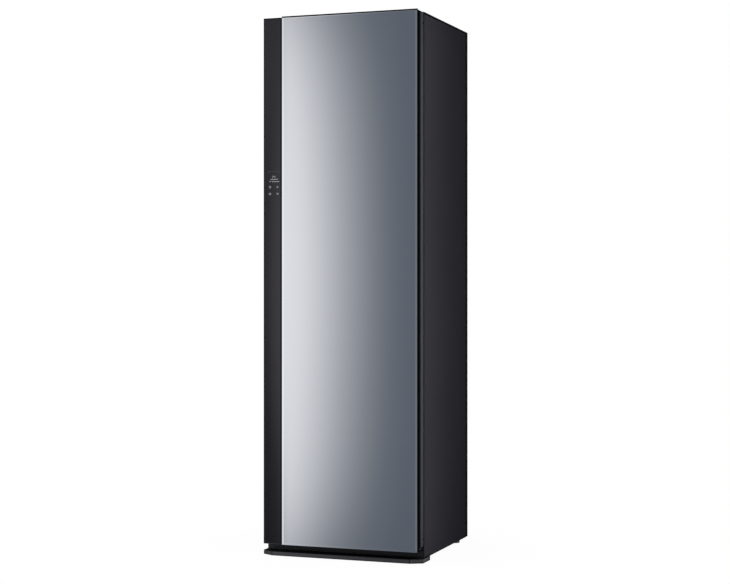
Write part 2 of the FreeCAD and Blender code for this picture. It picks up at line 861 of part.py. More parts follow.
def build_hanger():
    """Carriage that slides on the rods, its two arms, and the notched rail below them."""
    plate_top = block_top + carriage_thickness
    bearing_half = rod_bearing_length / 2
    pieces = [box(-carriage_half_length, rod_ys[0] - rod_block / 2, block_top, carriage_half_length,
                  rod_ys[1] + rod_block / 2, plate_top)]
    for x in (-arm_place, arm_place):
        for y in rod_ys:
            pieces.append(box(x - bearing_half, y - rod_block / 2, rod_z - rod_block / 2,
                              x + bearing_half, y + rod_block / 2, block_top + lap))
        pieces.append(box(x - arm_width / 2, rail_y - arm_depth / 2, rail_top, x + arm_width / 2,
                          rail_y + arm_depth / 2, block_top + lap))
    yoke_half = crank_pin_radius + yoke_clearance
    yoke_reach = shake_throw + crank_pin_radius + slot_margin
    cuts = [box(-yoke_half, rail_y - yoke_reach, block_top - lap, yoke_half, rail_y + yoke_reach,
                plate_top + lap)]
    for y in rod_ys:
        cuts.append(bar_x(-carriage_half_length, carriage_half_length, y, rod_z,
                          rod_radius + running_clearance))
    node("hanger_carriage", cut(fuse(pieces), cuts))

    rail = box(-half_rail, rail_y - rail_width / 2, rail_top - rail_height, half_rail,
               rail_y + rail_width / 2, rail_top)
    low_edges = [edge for edge in rail.Edges if edge.Length > 2 * half_rail - same
                 and edge.CenterOfMass.z < rail_top - rail_height / 2]
    rail = rail.makeFillet(rail_fillet, low_edges)
    notches = []
    for x in notch_places:
        slot = box(x - notch_width / 2, rail_y - rail_width, rail_top - notch_depth,
                   x + notch_width / 2, rail_y + rail_width, rail_top + lap)
        root = bar_y(rail_y - rail_width, rail_y + rail_width, x, rail_top - notch_depth,
                     notch_width / 2)
        notches.append(slot.fuse(root))
    node("hanger_rail", cut(rail, notches))


# --------------------------------------------------- lower front, tanks and filter
def build_tank_bay():
    right_window = box(bay_window_inner, casing_front_y - lap, bay_floor, bay_window_outer, bay_back,
                       bay_top)
    windows = [right_window, mirrored(right_window)]
    frame = box(-front_strip_edge, casing_front_y, pan_top, front_strip_edge, frame_back_y, sill_bottom)
    node("lower_front_frame", cut(frame, windows))
    tub_half = bay_window_outer + bay_wall
    tub = box(-tub_half, frame_back_y, bay_floor - bay_wall, tub_half, bay_rear, bay_top + bay_wall)
    node("tank_bay", cut(tub, windows))


def tank_body():
    """Right-hand tank: an open tub with a tall front and a finger cup in it."""
    tub = box(tank_left, tank_body_front, tank_floor, tank_right, tank_body_back, tank_body_top)
    hollow = box(tank_left + tank_wall, tank_body_front + tank_wall, tank_floor + tank_wall,
                 tank_right - tank_wall, tank_body_back - tank_wall, tank_body_top + lap)
    front = box(tank_left, tank_front_y, tank_floor, tank_right, tank_body_front,
                bay_top - tank_side_clearance)
    cup_low = tank_body_top + tank_lid + grip_above_lid
    cup_back = tank_body_front + grip_depth
    half_cup = grip_width / 2 + grip_wall
    cup = box(tank_middle - half_cup, tank_body_front - lap, cup_low, tank_middle + half_cup, cup_back,
              cup_low + grip_height + 2 * grip_wall)
    recess = box(tank_middle - grip_width / 2, tank_front_y - lap, cup_low + grip_wall,
                 tank_middle + grip_width / 2, cup_back - grip_wall, cup_low + grip_wall + grip_height)
    return fuse([tub.cut(hollow), front, cup]).cut(recess)


def build_tanks():
    tank = tank_body()
    node("water_tank", tank)
    node("drain_tank", mirrored(tank))
    lid_top = tank_body_top + tank_lid
    lid = box(tank_left, tank_body_front, tank_body_top, tank_right, tank_body_back, lid_top)
    node("water_tank_lid", lid.cut(bar_z(tank_body_top - lap, lid_top + lap, tank_middle,
                                         (tank_body_front + tank_body_back) / 2, fill_hole_radius)))


def build_filter():
    """Basket with a flange that lies on the cavity floor and a bridge handle."""
    half = filter_width / 2
    y0 = filter_y - filter_depth / 2
    y1 = filter_y + filter_depth / 2
    low = cavity_floor - filter_height
    seat = cavity_floor + part_clearance
    flange_top = seat + filter_flange_thickness
    handle_top = flange_top + filter_handle_height
    handle_half = filter_handle_width / 2
    body = box(-half, y0, low, half, y1, seat + lap)
    flange = box(-half - filter_flange, y0 - filter_flange, seat, half + filter_flange,
                 y1 + filter_flange, flange_top)
    basket = box(-half + filter_wall, y0 + filter_wall, low + filter_wall, half - filter_wall,
                 y1 - filter_wall, flange_top + lap)
    handle = box(-handle_half, y0 - filter_handle_overhang, seat, handle_half,
                 y1 + filter_handle_overhang, handle_top)
    under = box(-handle_half - lap, y0 + filter_handle_end, low + filter_wall, handle_half + lap,
                y1 - filter_handle_end, handle_top - filter_handle_thickness)
    node("lint_filter", fuse([fuse([body, flange]).cut(basket), handle.cut(under)]))


# ------------------------------------------------------------- machine compartment
def build_duct():
    half = duct_width / 2
    inner_half = half - duct_wall
    inlet_front = filter_y - duct_inlet_reach
    outer = fuse([
        box(-half, inlet_front, duct_inlet_bottom, half, duct_main_front + lap, floor_under),
        box(-half, duct_main_front, duct_main_bottom, half, duct_back, floor_under),
    ])
    inner = fuse([
        box(-inner_half, inlet_front + duct_wall, duct_inlet_bottom + duct_wall, inner_half,
            evaporator_front, floor_under + lap),
        box(-inner_half, duct_main_front + duct_wall, duct_main_bottom + duct_wall, inner_half,
            duct_back - duct_wall, floor_under + lap),
    ])
    cradle_x = fan_motor_x + cradle_inset
    cradle = box(cradle_x, fan_y - cradle_depth / 2, duct_main_bottom + lap,
                 cradle_x + cradle_length, fan_y + cradle_depth / 2, fan_z - cradle_drop)
    cradle = cradle.cut(bar_x(fan_motor_x, fan_motor_x + fan_motor_length, fan_y, fan_z,
                              fan_motor_radius + running_clearance))
    pipe_holes = []
    for front in (evaporator_front, condenser_front):
        pipe_holes.append(bar_x(-half - lap, -inner_half + lap, front + exchanger_depth / 2, pipe_z,
                                pipe_radius + pipe_hole_clearance))
    node("duct_housing", cut(fuse([outer.cut(inner), cradle]), pipe_holes))


def heat_exchanger(front):
    """Fin pack crossed by two columns of tubes."""
    half = exchanger_width / 2
    low = duct_main_bottom + duct_wall
    pieces = []
    pitch = (exchanger_width - fin_thickness) / (exchanger_fins - 1)
    for fin in range(exchanger_fins):
        x = -half + fin * pitch
        pieces.append(box(x, front, low, x + fin_thickness, front + exchanger_depth,
                          low + exchanger_height))
    for row in range(exchanger_rows):
        z = low + (row + 0.5) * exchanger_height / exchanger_rows
        for y in (front + exchanger_depth / 4, front + exchanger_depth * 3 / 4):
            pieces.append(bar_x(-half, half, y, z, exchanger_tube_radius))
    return fuse(pieces)


def build_heat_exchangers():
    node("heat_exchangers", heat_exchanger(evaporator_front), heat_exchanger(condenser_front))


def build_fan():
    half_fan = fan_width / 2
    half_disc = fan_disc_thickness / 2
    half_blade = fan_blade_thickness / 2
    shaft_end = fan_motor_x + fan_shaft_reach
    pieces = [
        bar_x(-half_fan, half_fan, fan_y, fan_z, fan_hub_radius),
        bar_x(-half_disc, half_disc, fan_y, fan_z, fan_radius),
        bar_x(0.0, shaft_end, fan_y, fan_z, fan_shaft_radius),
    ]
    for blade in range(fan_blades):
        vane = box(-half_fan, -half_blade, fan_radius - fan_blade_depth, half_fan, half_blade, fan_radius)
        vane.rotate(vec(0, 0, 0), vec(1, 0, 0), 360.0 * blade / fan_blades)
        vane.translate(vec(0, fan_y, fan_z))
        pieces.append(vane)
    node("fan_impeller", fuse(pieces))

    motor = bar_x(fan_motor_x, fan_motor_x + fan_motor_length, fan_y, fan_z, fan_motor_radius)
    node("fan_motor", motor.cut(bar_x(fan_motor_x - lap, shaft_end + shaft_end_gap, fan_y, fan_z,
                                      fan_shaft_radius + running_clearance)))


def build_compressor():
    plate_low = pan_top + mount_height
    can_low = plate_low + compressor_plate_thickness
    plate = bar_z(plate_low, can_low, compressor_x, compressor_y, compressor_plate_radius)
    can = bar_z(can_low - lap, compressor_top, compressor_x, compressor_y, compressor_radius)
    can = can.makeFillet(compressor_dome, [can.Edges[0]])
    node("compressor", fuse([plate, can]))
    pads = []
    for mount in range(mount_count):
        angle = math.radians(mount_first_angle + 360.0 * mount / mount_count)
        pads.append(bar_z(pan_top, plate_low, compressor_x + mount_circle * math.cos(angle),
                          compressor_y + mount_circle * math.sin(angle), mount_radius))
    node("compressor_mounts", *pads)


def build_steam_generator():
    width, depth, height = generator_size
    tank_low = generator_top - height
    boiler = box(generator_x, generator_y, tank_low, generator_x + width, generator_y + depth,
                 generator_top)
    pieces = [boiler.makeFillet(generator_fillet, upright_edges(boiler))]
    for x in (generator_x + generator_leg_inset, generator_x + width - generator_leg_inset):
        for y in (generator_y + generator_leg_inset, generator_y + depth - generator_leg_inset):
            pieces.append(bar_z(pan_top, tank_low + lap, x, y, generator_leg_radius))
    node("steam_generator", fuse(pieces))


def build_pumps():
    foot_half = pump_radius + pump_foot_margin
    foot_top = pan_top + pump_foot_height
    pumps = []
    for x in (-pump_x, pump_x):
        pumps.append(fuse([
            box(x - foot_half, pump_y - foot_half, pan_top, x + foot_half, pump_y + foot_half, foot_top),
            bar_z(foot_top - lap, foot_top + pump_height, x, pump_y, pump_radius),
            bar_y(pump_inlet_y, pump_y, x, pump_inlet_z, hose_radius),
            bar_z(pan_top + pump_height, pan_top + pump_outlet_height, x, pump_y, hose_radius),
        ]))
    node("water_and_drain_pumps", *pumps)


def build_control_box():
    width, depth, height = box_size
    case = box(box_x, box_y, pan_top, box_x + width, box_y + depth, pan_top + height)
    node("control_box", case.makeFillet(box_fillet, upright_edges(case)))


def build_water_hoses():
    """Feed and delivery for the steam, then the drain from the duct and its return."""
    outlet_z = pan_top + pump_outlet_height
    feed_y = generator_y + generator_size[1] / 2
    riser_y = duct_main_front + riser_setback
    hoses = [
        [(pump_x, bay_rear, feed_hose_z), (pump_x, riser_y, feed_hose_z),
         (pump_x, riser_y, pump_inlet_z), (pump_x, pump_inlet_y, pump_inlet_z)],
        [(pump_x, pump_y, outlet_z), (pump_x, pump_y, delivery_hose_z),
         (pump_x, feed_y, delivery_hose_z), (generator_x, feed_y, delivery_hose_z)],
        [(nozzle_x, feed_y, generator_top), (nozzle_x, feed_y, steam_hose_z),
         (nozzle_x, nozzle_y, steam_hose_z), (nozzle_x, nozzle_y, cavity_floor - nozzle_stub)],
        [(-pump_x, pump_inlet_y, pump_inlet_z), (-pump_x, riser_y, pump_inlet_z),
         (-pump_x, riser_y, duct_main_bottom)],
        [(-pump_x, pump_y, outlet_z), (-pump_x, pump_y, return_hose_z),
         (-2 * pump_x, pump_y, return_hose_z), (-2 * pump_x, bay_rear, return_hose_z)],
    ]
    node("water_hoses", *[tube(points, hose_radius) for points in hoses])


def build_refrigerant_pipes():
    condenser_y = condenser_front + exchanger_depth / 2
    evaporator_y = evaporator_front + exchanger_depth / 2
    port_y = compressor_y - compressor_port_offset
    side_x = compressor_x + compressor_port_offset
    pipe_end = -exchanger_width / 2
    hot_pipe = tube([(compressor_x, port_y, compressor_top), (compressor_x, port_y, pipe_z),
                     (compressor_x, condenser_y, pipe_z), (pipe_end, condenser_y, pipe_z)], pipe_radius)
    cold_pipe = tube([(pipe_end, evaporator_y, pipe_z), (side_x, evaporator_y, pipe_z),
                      (side_x, evaporator_y, suction_pipe_z), (side_x, compressor_y, suction_pipe_z)],
                     pipe_radius)
    can = bar_z(pan_top, compressor_top, compressor_x, compressor_y, compressor_radius)
    node("refrigerant_pipes", hot_pipe, cold_pipe.cut(can))


def build_cord_gland():
    outer_y = casing_back_y + gland_flange
    inner_y = outer_y - gland_length
    gland = fuse([
        bar_y(inner_y, outer_y, gland_x, gland_z, gland_radius),
        bar_y(casing_back_y, outer_y, gland_x, gland_z, gland_flange_radius),
    ])
    node("cord_gland", gland.cut(bar_y(inner_y - lap, outer_y + lap, gland_x, gland_z,
                                       gland_bore_radius)))


# -------------------------------------------------------------------------- door
def top_bracket_outline(grow, z0, z1):
    """Pad on the casing with a round-nosed lug over the door, grown on all sides."""
    pad = box(hinge_x - top_bracket_reach - grow, casing_front_y - grow, z0,
              half_width - top_bracket_edge + grow, casing_front_y + top_bracket_depth + grow, z1)
    half_lug = hinge_lug_radius + grow
    lug = box(hinge_x - half_lug, hinge_y, z0, hinge_x + half_lug, casing_front_y + lap, z1)
    return fuse([pad, lug, bar_z(z0, z1, hinge_x, hinge_y, half_lug)])


def build_top_hinge():
    pin = bar_z(recess_floor - bush_length + pin_end_gap, bracket_top, hinge_x, hinge_y,
                hinge_pin_radius)
    holes = []
    for x, y in top_bracket_screw_places():
        holes.append(bar_z(casing_top - lap, bracket_top + lap, x, y,
                           screw_shank_radius + screw_hole_clearance))
    bracket = fuse([top_bracket_outline(0.0, casing_top, bracket_top), pin])
    node("top_hinge_bracket", cut(bracket, holes))
    cover = top_bracket_outline(hinge_cover_wall, casing_top, door_top)
    pocket = top_bracket_outline(hinge_cover_gap, casing_top - lap, door_top - hinge_cover_roof)
    node("hinge_cover", cover.cut(pocket))


def build_bottom_hinge():
    plate_low = door_bottom + bottom_bracket_gap
    plate_high = plate_low + bottom_bracket_thickness
    flange = box(recess_left - bottom_flange_reach, flange_front, toe_kick_top + part_clearance,
                 half_width - bottom_flange_edge, casing_front_y, notch_top - lap)
    lug = box(hinge_x - hinge_lug_radius, hinge_y, plate_low, hinge_x + hinge_lug_radius,
              flange_front + lap, plate_high)
    bracket = fuse([
        flange,
        lug,
        bar_z(plate_low, plate_high, hinge_x, hinge_y, hinge_lug_radius),
        bar_z(plate_low, notch_top - part_clearance, hinge_x, hinge_y, bush_radius),
        bar_z(plate_low, door_bottom + end_cap_height - pin_end_gap, hinge_x, hinge_y,
              hinge_pin_radius),
    ])
    holes = []
    for x, z in bottom_bracket_screw_places():
        holes.append(bar_y(flange_front - lap, casing_front_y + lap, x, z,
                           screw_shank_radius + screw_hole_clearance))
    node("bottom_hinge_bracket", cut(bracket, holes))


def build_screws():
    shank_start = foam_back + screw_tip_gap
    screws = []
    for x, z in back_screw_places():
        screws.append(fuse([
            bar_y(casing_back_y, casing_back_y + screw_head_height, x, z, screw_head_radius),
            bar_y(shank_start, casing_back_y + lap, x, z, screw_shank_radius),
        ]))
    for x, z in bottom_bracket_screw_places():
        screws.append(fuse([
            bar_y(flange_front - screw_head_height, flange_front, x, z, screw_head_radius),
            bar_y(flange_front - lap, casing_front_y, x, z, screw_shank_radius),
        ]))
    for x, y in top_bracket_screw_places():
        screws.append(fuse([
            bar_z(bracket_top, bracket_top + bracket_screw_head_height, x, y, screw_head_radius),
            bar_z(top_sheet_under - top_screw_depth, bracket_top + lap / 2, x, y, screw_shank_radius),
        ]))
    node("cabinet_screws", *screws)


def build_door_frame():
    """Side stiles and end caps, with the two hinge bushes in the caps."""
    stile_edge = half_width - stile_width
    cap_top_low = door_top - end_cap_height
    cap_bottom_high = door_bottom + end_cap_height
    top_bush_low = recess_floor - bush_length
    upper_recess = box(recess_left, body_front_y - lap, recess_floor, half_width + lap,
                       body_back_y + lap, door_top + lap)
    lower_notch = box(recess_left, body_front_y - lap, door_bottom - lap, half_width + lap,
                      body_back_y + lap, notch_top)
    stile = box(stile_edge, body_front_y, door_bottom, half_width, body_back_y, door_top)
    outer_back = [edge for edge in upright_edges(stile) if edge.CenterOfMass.x > half_width - same
                  and edge.CenterOfMass.y > body_back_y - same]
    stile = stile.makeFillet(stile_fillet, outer_back)
    top_cap = box(-stile_edge, body_front_y, cap_top_low, stile_edge, body_back_y, door_top)
    top_cap = cut(top_cap, [upper_recess,
                            bar_z(top_bush_low, door_top, hinge_x, hinge_y, bush_radius)])
    bottom_cap = box(-stile_edge, body_front_y, door_bottom, stile_edge, body_back_y, cap_bottom_high)
    bottom_cap = cut(bottom_cap, [lower_notch,
                                  bar_z(door_bottom, cap_bottom_high, hinge_x, hinge_y, bush_radius)])
    node("door_frame", mirrored(stile), cut(stile, [upper_recess, lower_notch]), top_cap, bottom_cap)

    bushes = []
    for z0, z1 in ((notch_top, cap_bottom_high), (top_bush_low, recess_floor)):
        bush = bar_z(z0, z1, hinge_x, hinge_y, bush_radius)
        bushes.append(bush.cut(bar_z(z0 - lap, z1 + lap, hinge_x, hinge_y,
                                     hinge_pin_radius + running_clearance)))
    node("door_bushes", *bushes)


def build_door_body():
    """Front sheet, foam and liner between the stiles, with the touch board let in."""
    stile_edge = half_width - stile_width
    low = door_bottom + end_cap_height
    high = door_top - end_cap_height
    foam_front = body_front_y + sheet
    liner_front = body_back_y - door_liner
    half_w = display_width / 2
    half_h = display_height / 2
    board = box(display_centre_x - half_w, body_front_y, display_centre_z - half_h,
                display_centre_x + half_w, body_front_y + display_depth, display_centre_z + half_h)
    window = box(display_centre_x - half_w - display_clearance, body_front_y - lap,
                 display_centre_z - half_h - display_clearance,
                 display_centre_x + half_w + display_clearance,
                 body_front_y + display_depth + display_clearance,
                 display_centre_z + half_h + display_clearance)
    face = box(-stile_edge, body_front_y, low, stile_edge, foam_front, high)
    foam = box(-stile_edge, foam_front, low, stile_edge, liner_front, high)
    node("display_board", board)
    node("door_front_sheet", face.cut(window))
    node("door_insulation", foam.cut(window))
    node("door_inner_liner", box(-stile_edge, liner_front, low, stile_edge, body_back_y, high))


def build_door_seal():
    """Seal in four mitred lengths."""
    x1 = half_width - seal_inset
    z0 = door_bottom + seal_bottom_inset
    z1 = door_top - seal_top_inset
    outer = [(-x1, z0), (x1, z0), (x1, z1), (-x1, z1)]
    inner_x = x1 - seal_width
    inner = [(-inner_x, z0 + seal_width), (inner_x, z0 + seal_width), (inner_x, z1 - seal_width),
             (-inner_x, z1 - seal_width)]
    thickness = vec(0, seal_gap - part_clearance, 0)
    lengths = []
    for side in range(4):
        after = (side + 1) % 4
        ring = [outer[side], outer[after], inner[after], inner[side]]
        corners = [vec(x, body_back_y, z) for x, z in ring]
        lengths.append(Part.Face(Part.makePolygon(corners + [corners[0]])).extrude(thickness))
    node("door_gasket", *lengths)


def build_door_face():
    """Bevelled mirror glass on its backing board, and the dark strip beside it."""
    bevel_y = front_y + mirror_bevel_depth
    slab = box(mirror_left, bevel_y, door_bottom, half_width, mirror_back_y, door_top)
    rim = upright_rectangle(mirror_left, half_width, door_bottom, door_top, bevel_y)
    face = upright_rectangle(mirror_left + mirror_bevel_width, half_width - mirror_bevel_width,
                             door_bottom + mirror_bevel_width, door_top - mirror_bevel_width, front_y)
    node("mirror_glass", fuse([slab, Part.makeLoft([rim, face], True)]))

    backing_left = mirror_left + finger_groove
    node("mirror_backing", box(backing_left, mirror_back_y, door_bottom + backing_inset,
                               half_width - backing_inset, body_front_y, door_top - backing_inset))
    node("control_glass", box(-half_width + control_gap, control_front_y, door_bottom,
                              backing_left - control_gap, control_back_y, door_top))


def build_press():
    board = box(-press_board_half, body_back_y, press_bottom, press_board_half, press_board_front,
                press_top)
    node("press_board", board.makeFillet(press_board_fillet, edges_at_y(board, press_board_front)))

    half_ear = press_ear_thickness / 2
    fixed = []
    swinging = []
    bores = []
    bracket_lows = (press_bottom + press_hinge_inset,
                    press_top - press_hinge_inset - press_bracket_height - press_knuckle_height)
    for low in bracket_lows:
        high = low + press_bracket_height
        top = high + press_knuckle_height
        block = box(press_hinge_x - press_bracket_half, body_back_y, low,
                    press_hinge_x + press_bracket_half, press_hinge_y + press_bracket_half, high)
        fixed.append(fuse([block, bar_z(high - lap, top, press_hinge_x, press_hinge_y,
                                        press_pin_radius)]))
        knuckle_low = high + part_clearance
        swinging.append(bar_z(knuckle_low, top, press_hinge_x, press_hinge_y, press_knuckle_radius))
        swinging.append(box(press_right - lap, press_hinge_y - half_ear, knuckle_low, press_hinge_x,
                            press_hinge_y + half_ear, top))
        bores.append(bar_z(knuckle_low - lap, top + lap, press_hinge_x, press_hinge_y,
                           press_pin_radius + running_clearance))
    for low in (press_bottom + press_post_inset, press_top - press_post_inset - press_post_height):
        fixed.append(box(press_left + press_post_edge, body_back_y, low,
                         -press_board_half - press_post_edge, press_plate_back - part_clearance,
                         low + press_post_height))
    node("press_brackets", *fixed)

    plate = box(press_left, press_plate_back, press_bottom, press_right, press_plate_front, press_top)
    plate = plate.makeFillet(press_plate_fillet, edges_at_y(plate, press_plate_front))
    node("press_plate", cut(fuse([plate] + swinging), bores))


def write_parts():
    os.makedirs("parts", exist_ok=True)
    for name, solids in nodes.items():
        shape = solids[0] if len(solids) == 1 else Part.makeCompound(solids)
        if not shape.isValid():
            print("not valid:", name)
        shape.exportStep("parts/" + name + ".step")
    print(len(nodes), "nodes,", sum(len(solids) for solids in nodes.values()), "solids")


build_casing()
build_base()
build_liner()
build_outlet_grille()
build_steam_nozzle()
build_cabin_lamp()
build_shelf()
build_drive_frame()
build_crank_drive()
build_hanger()
build_tank_bay()
build_tanks()
build_filter()
build_duct()
build_heat_exchangers()
build_fan()
build_compressor()
build_steam_generator()
build_pumps()
build_control_box()
build_water_hoses()
build_refrigerant_pipes()
build_cord_gland()
build_top_hinge()
build_bottom_hinge()
build_screws()
build_door_frame()
build_door_body()
build_door_seal()
build_door_face()
build_press()
write_parts()
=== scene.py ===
import math
import bpy
import bmesh
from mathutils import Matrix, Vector


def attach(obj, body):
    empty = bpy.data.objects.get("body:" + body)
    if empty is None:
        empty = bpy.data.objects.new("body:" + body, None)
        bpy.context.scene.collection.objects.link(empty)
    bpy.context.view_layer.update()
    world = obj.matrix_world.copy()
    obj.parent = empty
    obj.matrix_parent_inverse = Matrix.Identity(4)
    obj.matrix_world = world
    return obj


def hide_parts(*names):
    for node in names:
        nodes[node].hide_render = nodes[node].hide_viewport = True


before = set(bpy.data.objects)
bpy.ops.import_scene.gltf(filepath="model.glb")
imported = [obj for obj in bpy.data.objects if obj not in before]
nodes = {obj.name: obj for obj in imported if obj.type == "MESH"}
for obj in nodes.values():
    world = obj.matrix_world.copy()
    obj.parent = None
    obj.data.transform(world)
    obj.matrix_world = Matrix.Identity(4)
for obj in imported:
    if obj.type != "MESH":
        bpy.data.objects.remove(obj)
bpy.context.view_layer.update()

# A clothes care steam cabinet, in metres.  X runs to the right, Y to the back, Z up.
MM = 0.001
scene = bpy.context.scene


# ---- finish maths
def sign(operation, reflected=False):
    """The method behind an arithmetic sign: it adds a Math node."""
    def apply(value, other):
        return value.math(operation, *((other, value) if reflected else (value, other)))
    return apply


class Value:
    """A number, colour or shape made by a node; its sums and products are nodes too."""

    def __init__(self, holder, socket):
        self.holder = holder
        self.socket = socket

    def math(self, operation, *operands):
        return self.holder.add("Math", dict(enumerate(operands)), operation=operation)

    __add__, __radd__ = sign("ADD"), sign("ADD", True)
    __sub__, __rsub__ = sign("SUBTRACT"), sign("SUBTRACT", True)
    __mul__, __rmul__ = sign("MULTIPLY"), sign("MULTIPLY", True)
    __truediv__ = sign("DIVIDE")

    def __abs__(self):
        return self.math("ABSOLUTE", self)

    def step(self, low, high):
        """0 at low, 1 at high, with an easy slope between; high may be the smaller."""
        first, last = (0.0, 1.0) if high > low else (1.0, 0.0)
        return self.holder.add(
            "MapRange", {0: self, 1: min(low, high), 2: max(low, high), 3: first, 4: last},
            interpolation_type="SMOOTHSTEP")


class Nodes:
    """A node tree that is filled one node at a time."""
    family = ""

    def __init__(self, tree):
        self.tree = tree
        tree.nodes.clear()

    def add(self, kind, sockets=(), output=0, **settings):
        """Add a node: its settings first, then the values or links of its sockets."""
        node = self.tree.nodes.new(self.family + kind)
        for name, value in settings.items():
            setattr(node, name, value)
        for key, value in dict(sockets).items():
            if isinstance(value, Value):
                self.tree.links.new(value.socket, node.inputs[key])
            else:
                node.inputs[key].default_value = value
        return Value(self, node.outputs[output])


class Finish(Nodes):
    """Shader nodes of one finish; they read the object's own coordinates in metres."""
    family = "ShaderNode"

    def __init__(self, holder, coordinates="Object"):
        holder.use_nodes = True
        super().__init__(holder.node_tree)
        self.holder = holder
        self.place = self.add("TexCoord", output=coordinates)

    def along(self):
        """The three coordinates as separate values."""
        split = self.add("SeparateXYZ", {0: self.place})
        return [Value(self, output) for output in split.socket.node.outputs]

    def stretched(self, x, y, z):
        """Coordinates pulled by a factor along each axis."""
        return self.add("VectorMath", {0: self.place, 1: (x, y, z)}, operation="MULTIPLY")

    def noise(self, scale, detail=2.0, vector=None):
        return self.add("TexNoise", {"Vector": vector or self.place, "Scale": scale, "Detail": detail})

    def crystals(self, scale):
        """A tone of its own for each cell of a random pattern."""
        cells = self.add("TexVoronoi", {"Vector": self.place, "Scale": scale}, "Color", feature="F1")
        return self.add("RGBToBW", {0: cells})

    def mix(self, mask, first, second, **settings):
        return self.add("Mix", {0: mask, 6: first, 7: second}, 2, data_type="RGBA", **settings)

    def bump(self, height, distance, **under):
        """Bump of a depth in metres; Normal= takes the bump that lies under it."""
        return self.add("Bump", {"Height": height, "Distance": distance, "Strength": 1.0, **under})

    def shader(self, **sockets):
        """Close the finish with a Principled shader; names use _ for a space."""
        named = {name.replace("_", " "): value for name, value in sockets.items()}
        return self.close("OutputMaterial", self.add("BsdfPrincipled", named))

    def close(self, kind, shader):
        output = self.tree.nodes.new(self.family + kind)
        self.tree.links.new(shader.socket, output.inputs["Surface"])
        return self.holder


def colour(red, green, blue):
    return (red, green, blue, 1.0)


def grey(level, blue=1.0):
    return colour(level, level, level * blue)


def shaded(base, factor):
    """The same colour, darker or lighter."""
    return tuple(part * factor for part in base[:3]) + (1.0,)


def new_finish(name):
    return Finish(bpy.data.materials.new(name))


def finish_of(node):
    return nodes[node].material_slots[0].material


# ---- finish kinds, depths in metres
PEEL_SCALE, PEEL_DEPTH = 420.0, 0.00012
GRAIN_SCALE, GRAIN_DEPTH = 900.0, 0.0001
BRUSH_DEPTH = 0.00006


def satin_paint(name, base, roughness=0.36):
    """Baked paint on sheet steel: orange peel and faint clouding."""
    f = new_finish(name)
    clouds = f.noise(3.0, 3.0)
    return f.shader(Base_Color=f.mix(clouds, base, shaded(base, 1.18)),
                    Roughness=roughness + 0.04 * (clouds - 0.5),
                    Normal=f.bump(f.noise(PEEL_SCALE), PEEL_DEPTH))


def casing_paint(name):
    """Charcoal casing paint: orange peel, and a darker, rougher band along the rear and top folds that
    is painted shade.
    """
    f = new_finish(name)
    x, y, z = f.along()
    clouds = f.noise(3.0, 3.0)
    # painted shade: the rear and top folds are coloured darker
    painted_fold_shade = 1.0 - y.step(0.290, 0.282) * z.step(1.9535, 1.9505)
    paint = f.mix(clouds, colour(0.0054, 0.0052, 0.0074), colour(0.0064, 0.0062, 0.0086))
    return f.shader(Base_Color=f.mix(painted_fold_shade, paint, colour(0.0035, 0.0033, 0.0045)),
                    Roughness=0.305 + 0.03 * (clouds - 0.5) + 0.25 * painted_fold_shade,
                    Normal=f.bump(f.noise(PEEL_SCALE), PEEL_DEPTH))


def moulded_plastic(name, base, roughness=0.5, grain=GRAIN_DEPTH, grain_scale=GRAIN_SCALE):
    """Moulded plastic with a fine spark-eroded grain."""
    f = new_finish(name)
    pits = f.noise(grain_scale, 3.0)
    return f.shader(Base_Color=f.mix(f.noise(9.0), base, shaded(base, 1.12)),
                    Roughness=roughness + 0.10 * (pits - 0.5), Normal=f.bump(pits, grain))


def brushed(f, axis):
    """Fine scratches along one axis, and the faint smears between them."""
    pull = [900.0, 900.0, 900.0]
    pull[axis] = 12.0
    return f.noise(1.0, 4.0, f.stretched(*pull)), f.noise(14.0)


def brushed_metal(name, base, axis, roughness=0.32):
    """Metal with fine scratches that run along one axis."""
    f = new_finish(name)
    lines, smears = brushed(f, axis)
    return f.shader(Base_Color=f.mix(lines, shaded(base, 0.86), base), Metallic=1.0,
                    Roughness=roughness + 0.12 * (lines - 0.5) + 0.08 * (smears - 0.5),
                    Normal=f.bump(lines, BRUSH_DEPTH))


def plated_steel(name, base):
    """Zinc plate: large faint crystals."""
    f = new_finish(name)
    tone = f.crystals(90.0)
    return f.shader(Base_Color=f.mix(tone, shaded(base, 0.8), base), Metallic=0.9,
                    Roughness=0.3 + 0.16 * (tone - 0.5), Normal=f.bump(f.noise(600.0), 0.00003))


def soft_rubber(name, base, roughness=0.75):
    """Rubber with a matt grain and a little dust."""
    f = new_finish(name)
    dust = f.noise(35.0, 4.0)
    dusty = tuple(part + 0.02 for part in base[:3]) + (1.0,)
    return f.shader(Base_Color=f.mix(dust.step(0.45, 0.8), base, dusty),
                    Roughness=roughness + 0.12 * (dust - 0.5),
                    Normal=f.bump(f.noise(1400.0), 0.00008))


def mirror_coat(name):
    """Tinted mirror glass: a metal film seen from the front, and ground edges painted near black as
    shade.
    """
    f = new_finish(name)
    x, y, z = f.along()
    # painted shade: beyond the front film, the outer rim of the bevel and the side faces are coloured
    # near black
    sides = x.step(0.2984, 0.2980) * x.step(-0.2180, -0.2176)
    ends = z.step(1.9550, 1.9542) * z.step(0.0438, 0.0442)
    front = y.step(-0.30295, -0.30305) * sides * ends
    cloud = f.noise(2.2)
    film = f.mix(cloud, colour(0.86, 0.875, 0.90), colour(0.88, 0.892, 0.912))
    edge = f.mix(f.noise(300.0), colour(0.003, 0.004, 0.005), colour(0.006, 0.007, 0.009))
    return f.shader(Base_Color=f.mix(front, edge, film), Metallic=front, Specular_IOR_Level=0.1,
                    Roughness=0.30 - 0.268 * front + 0.006 * (cloud - 0.5))


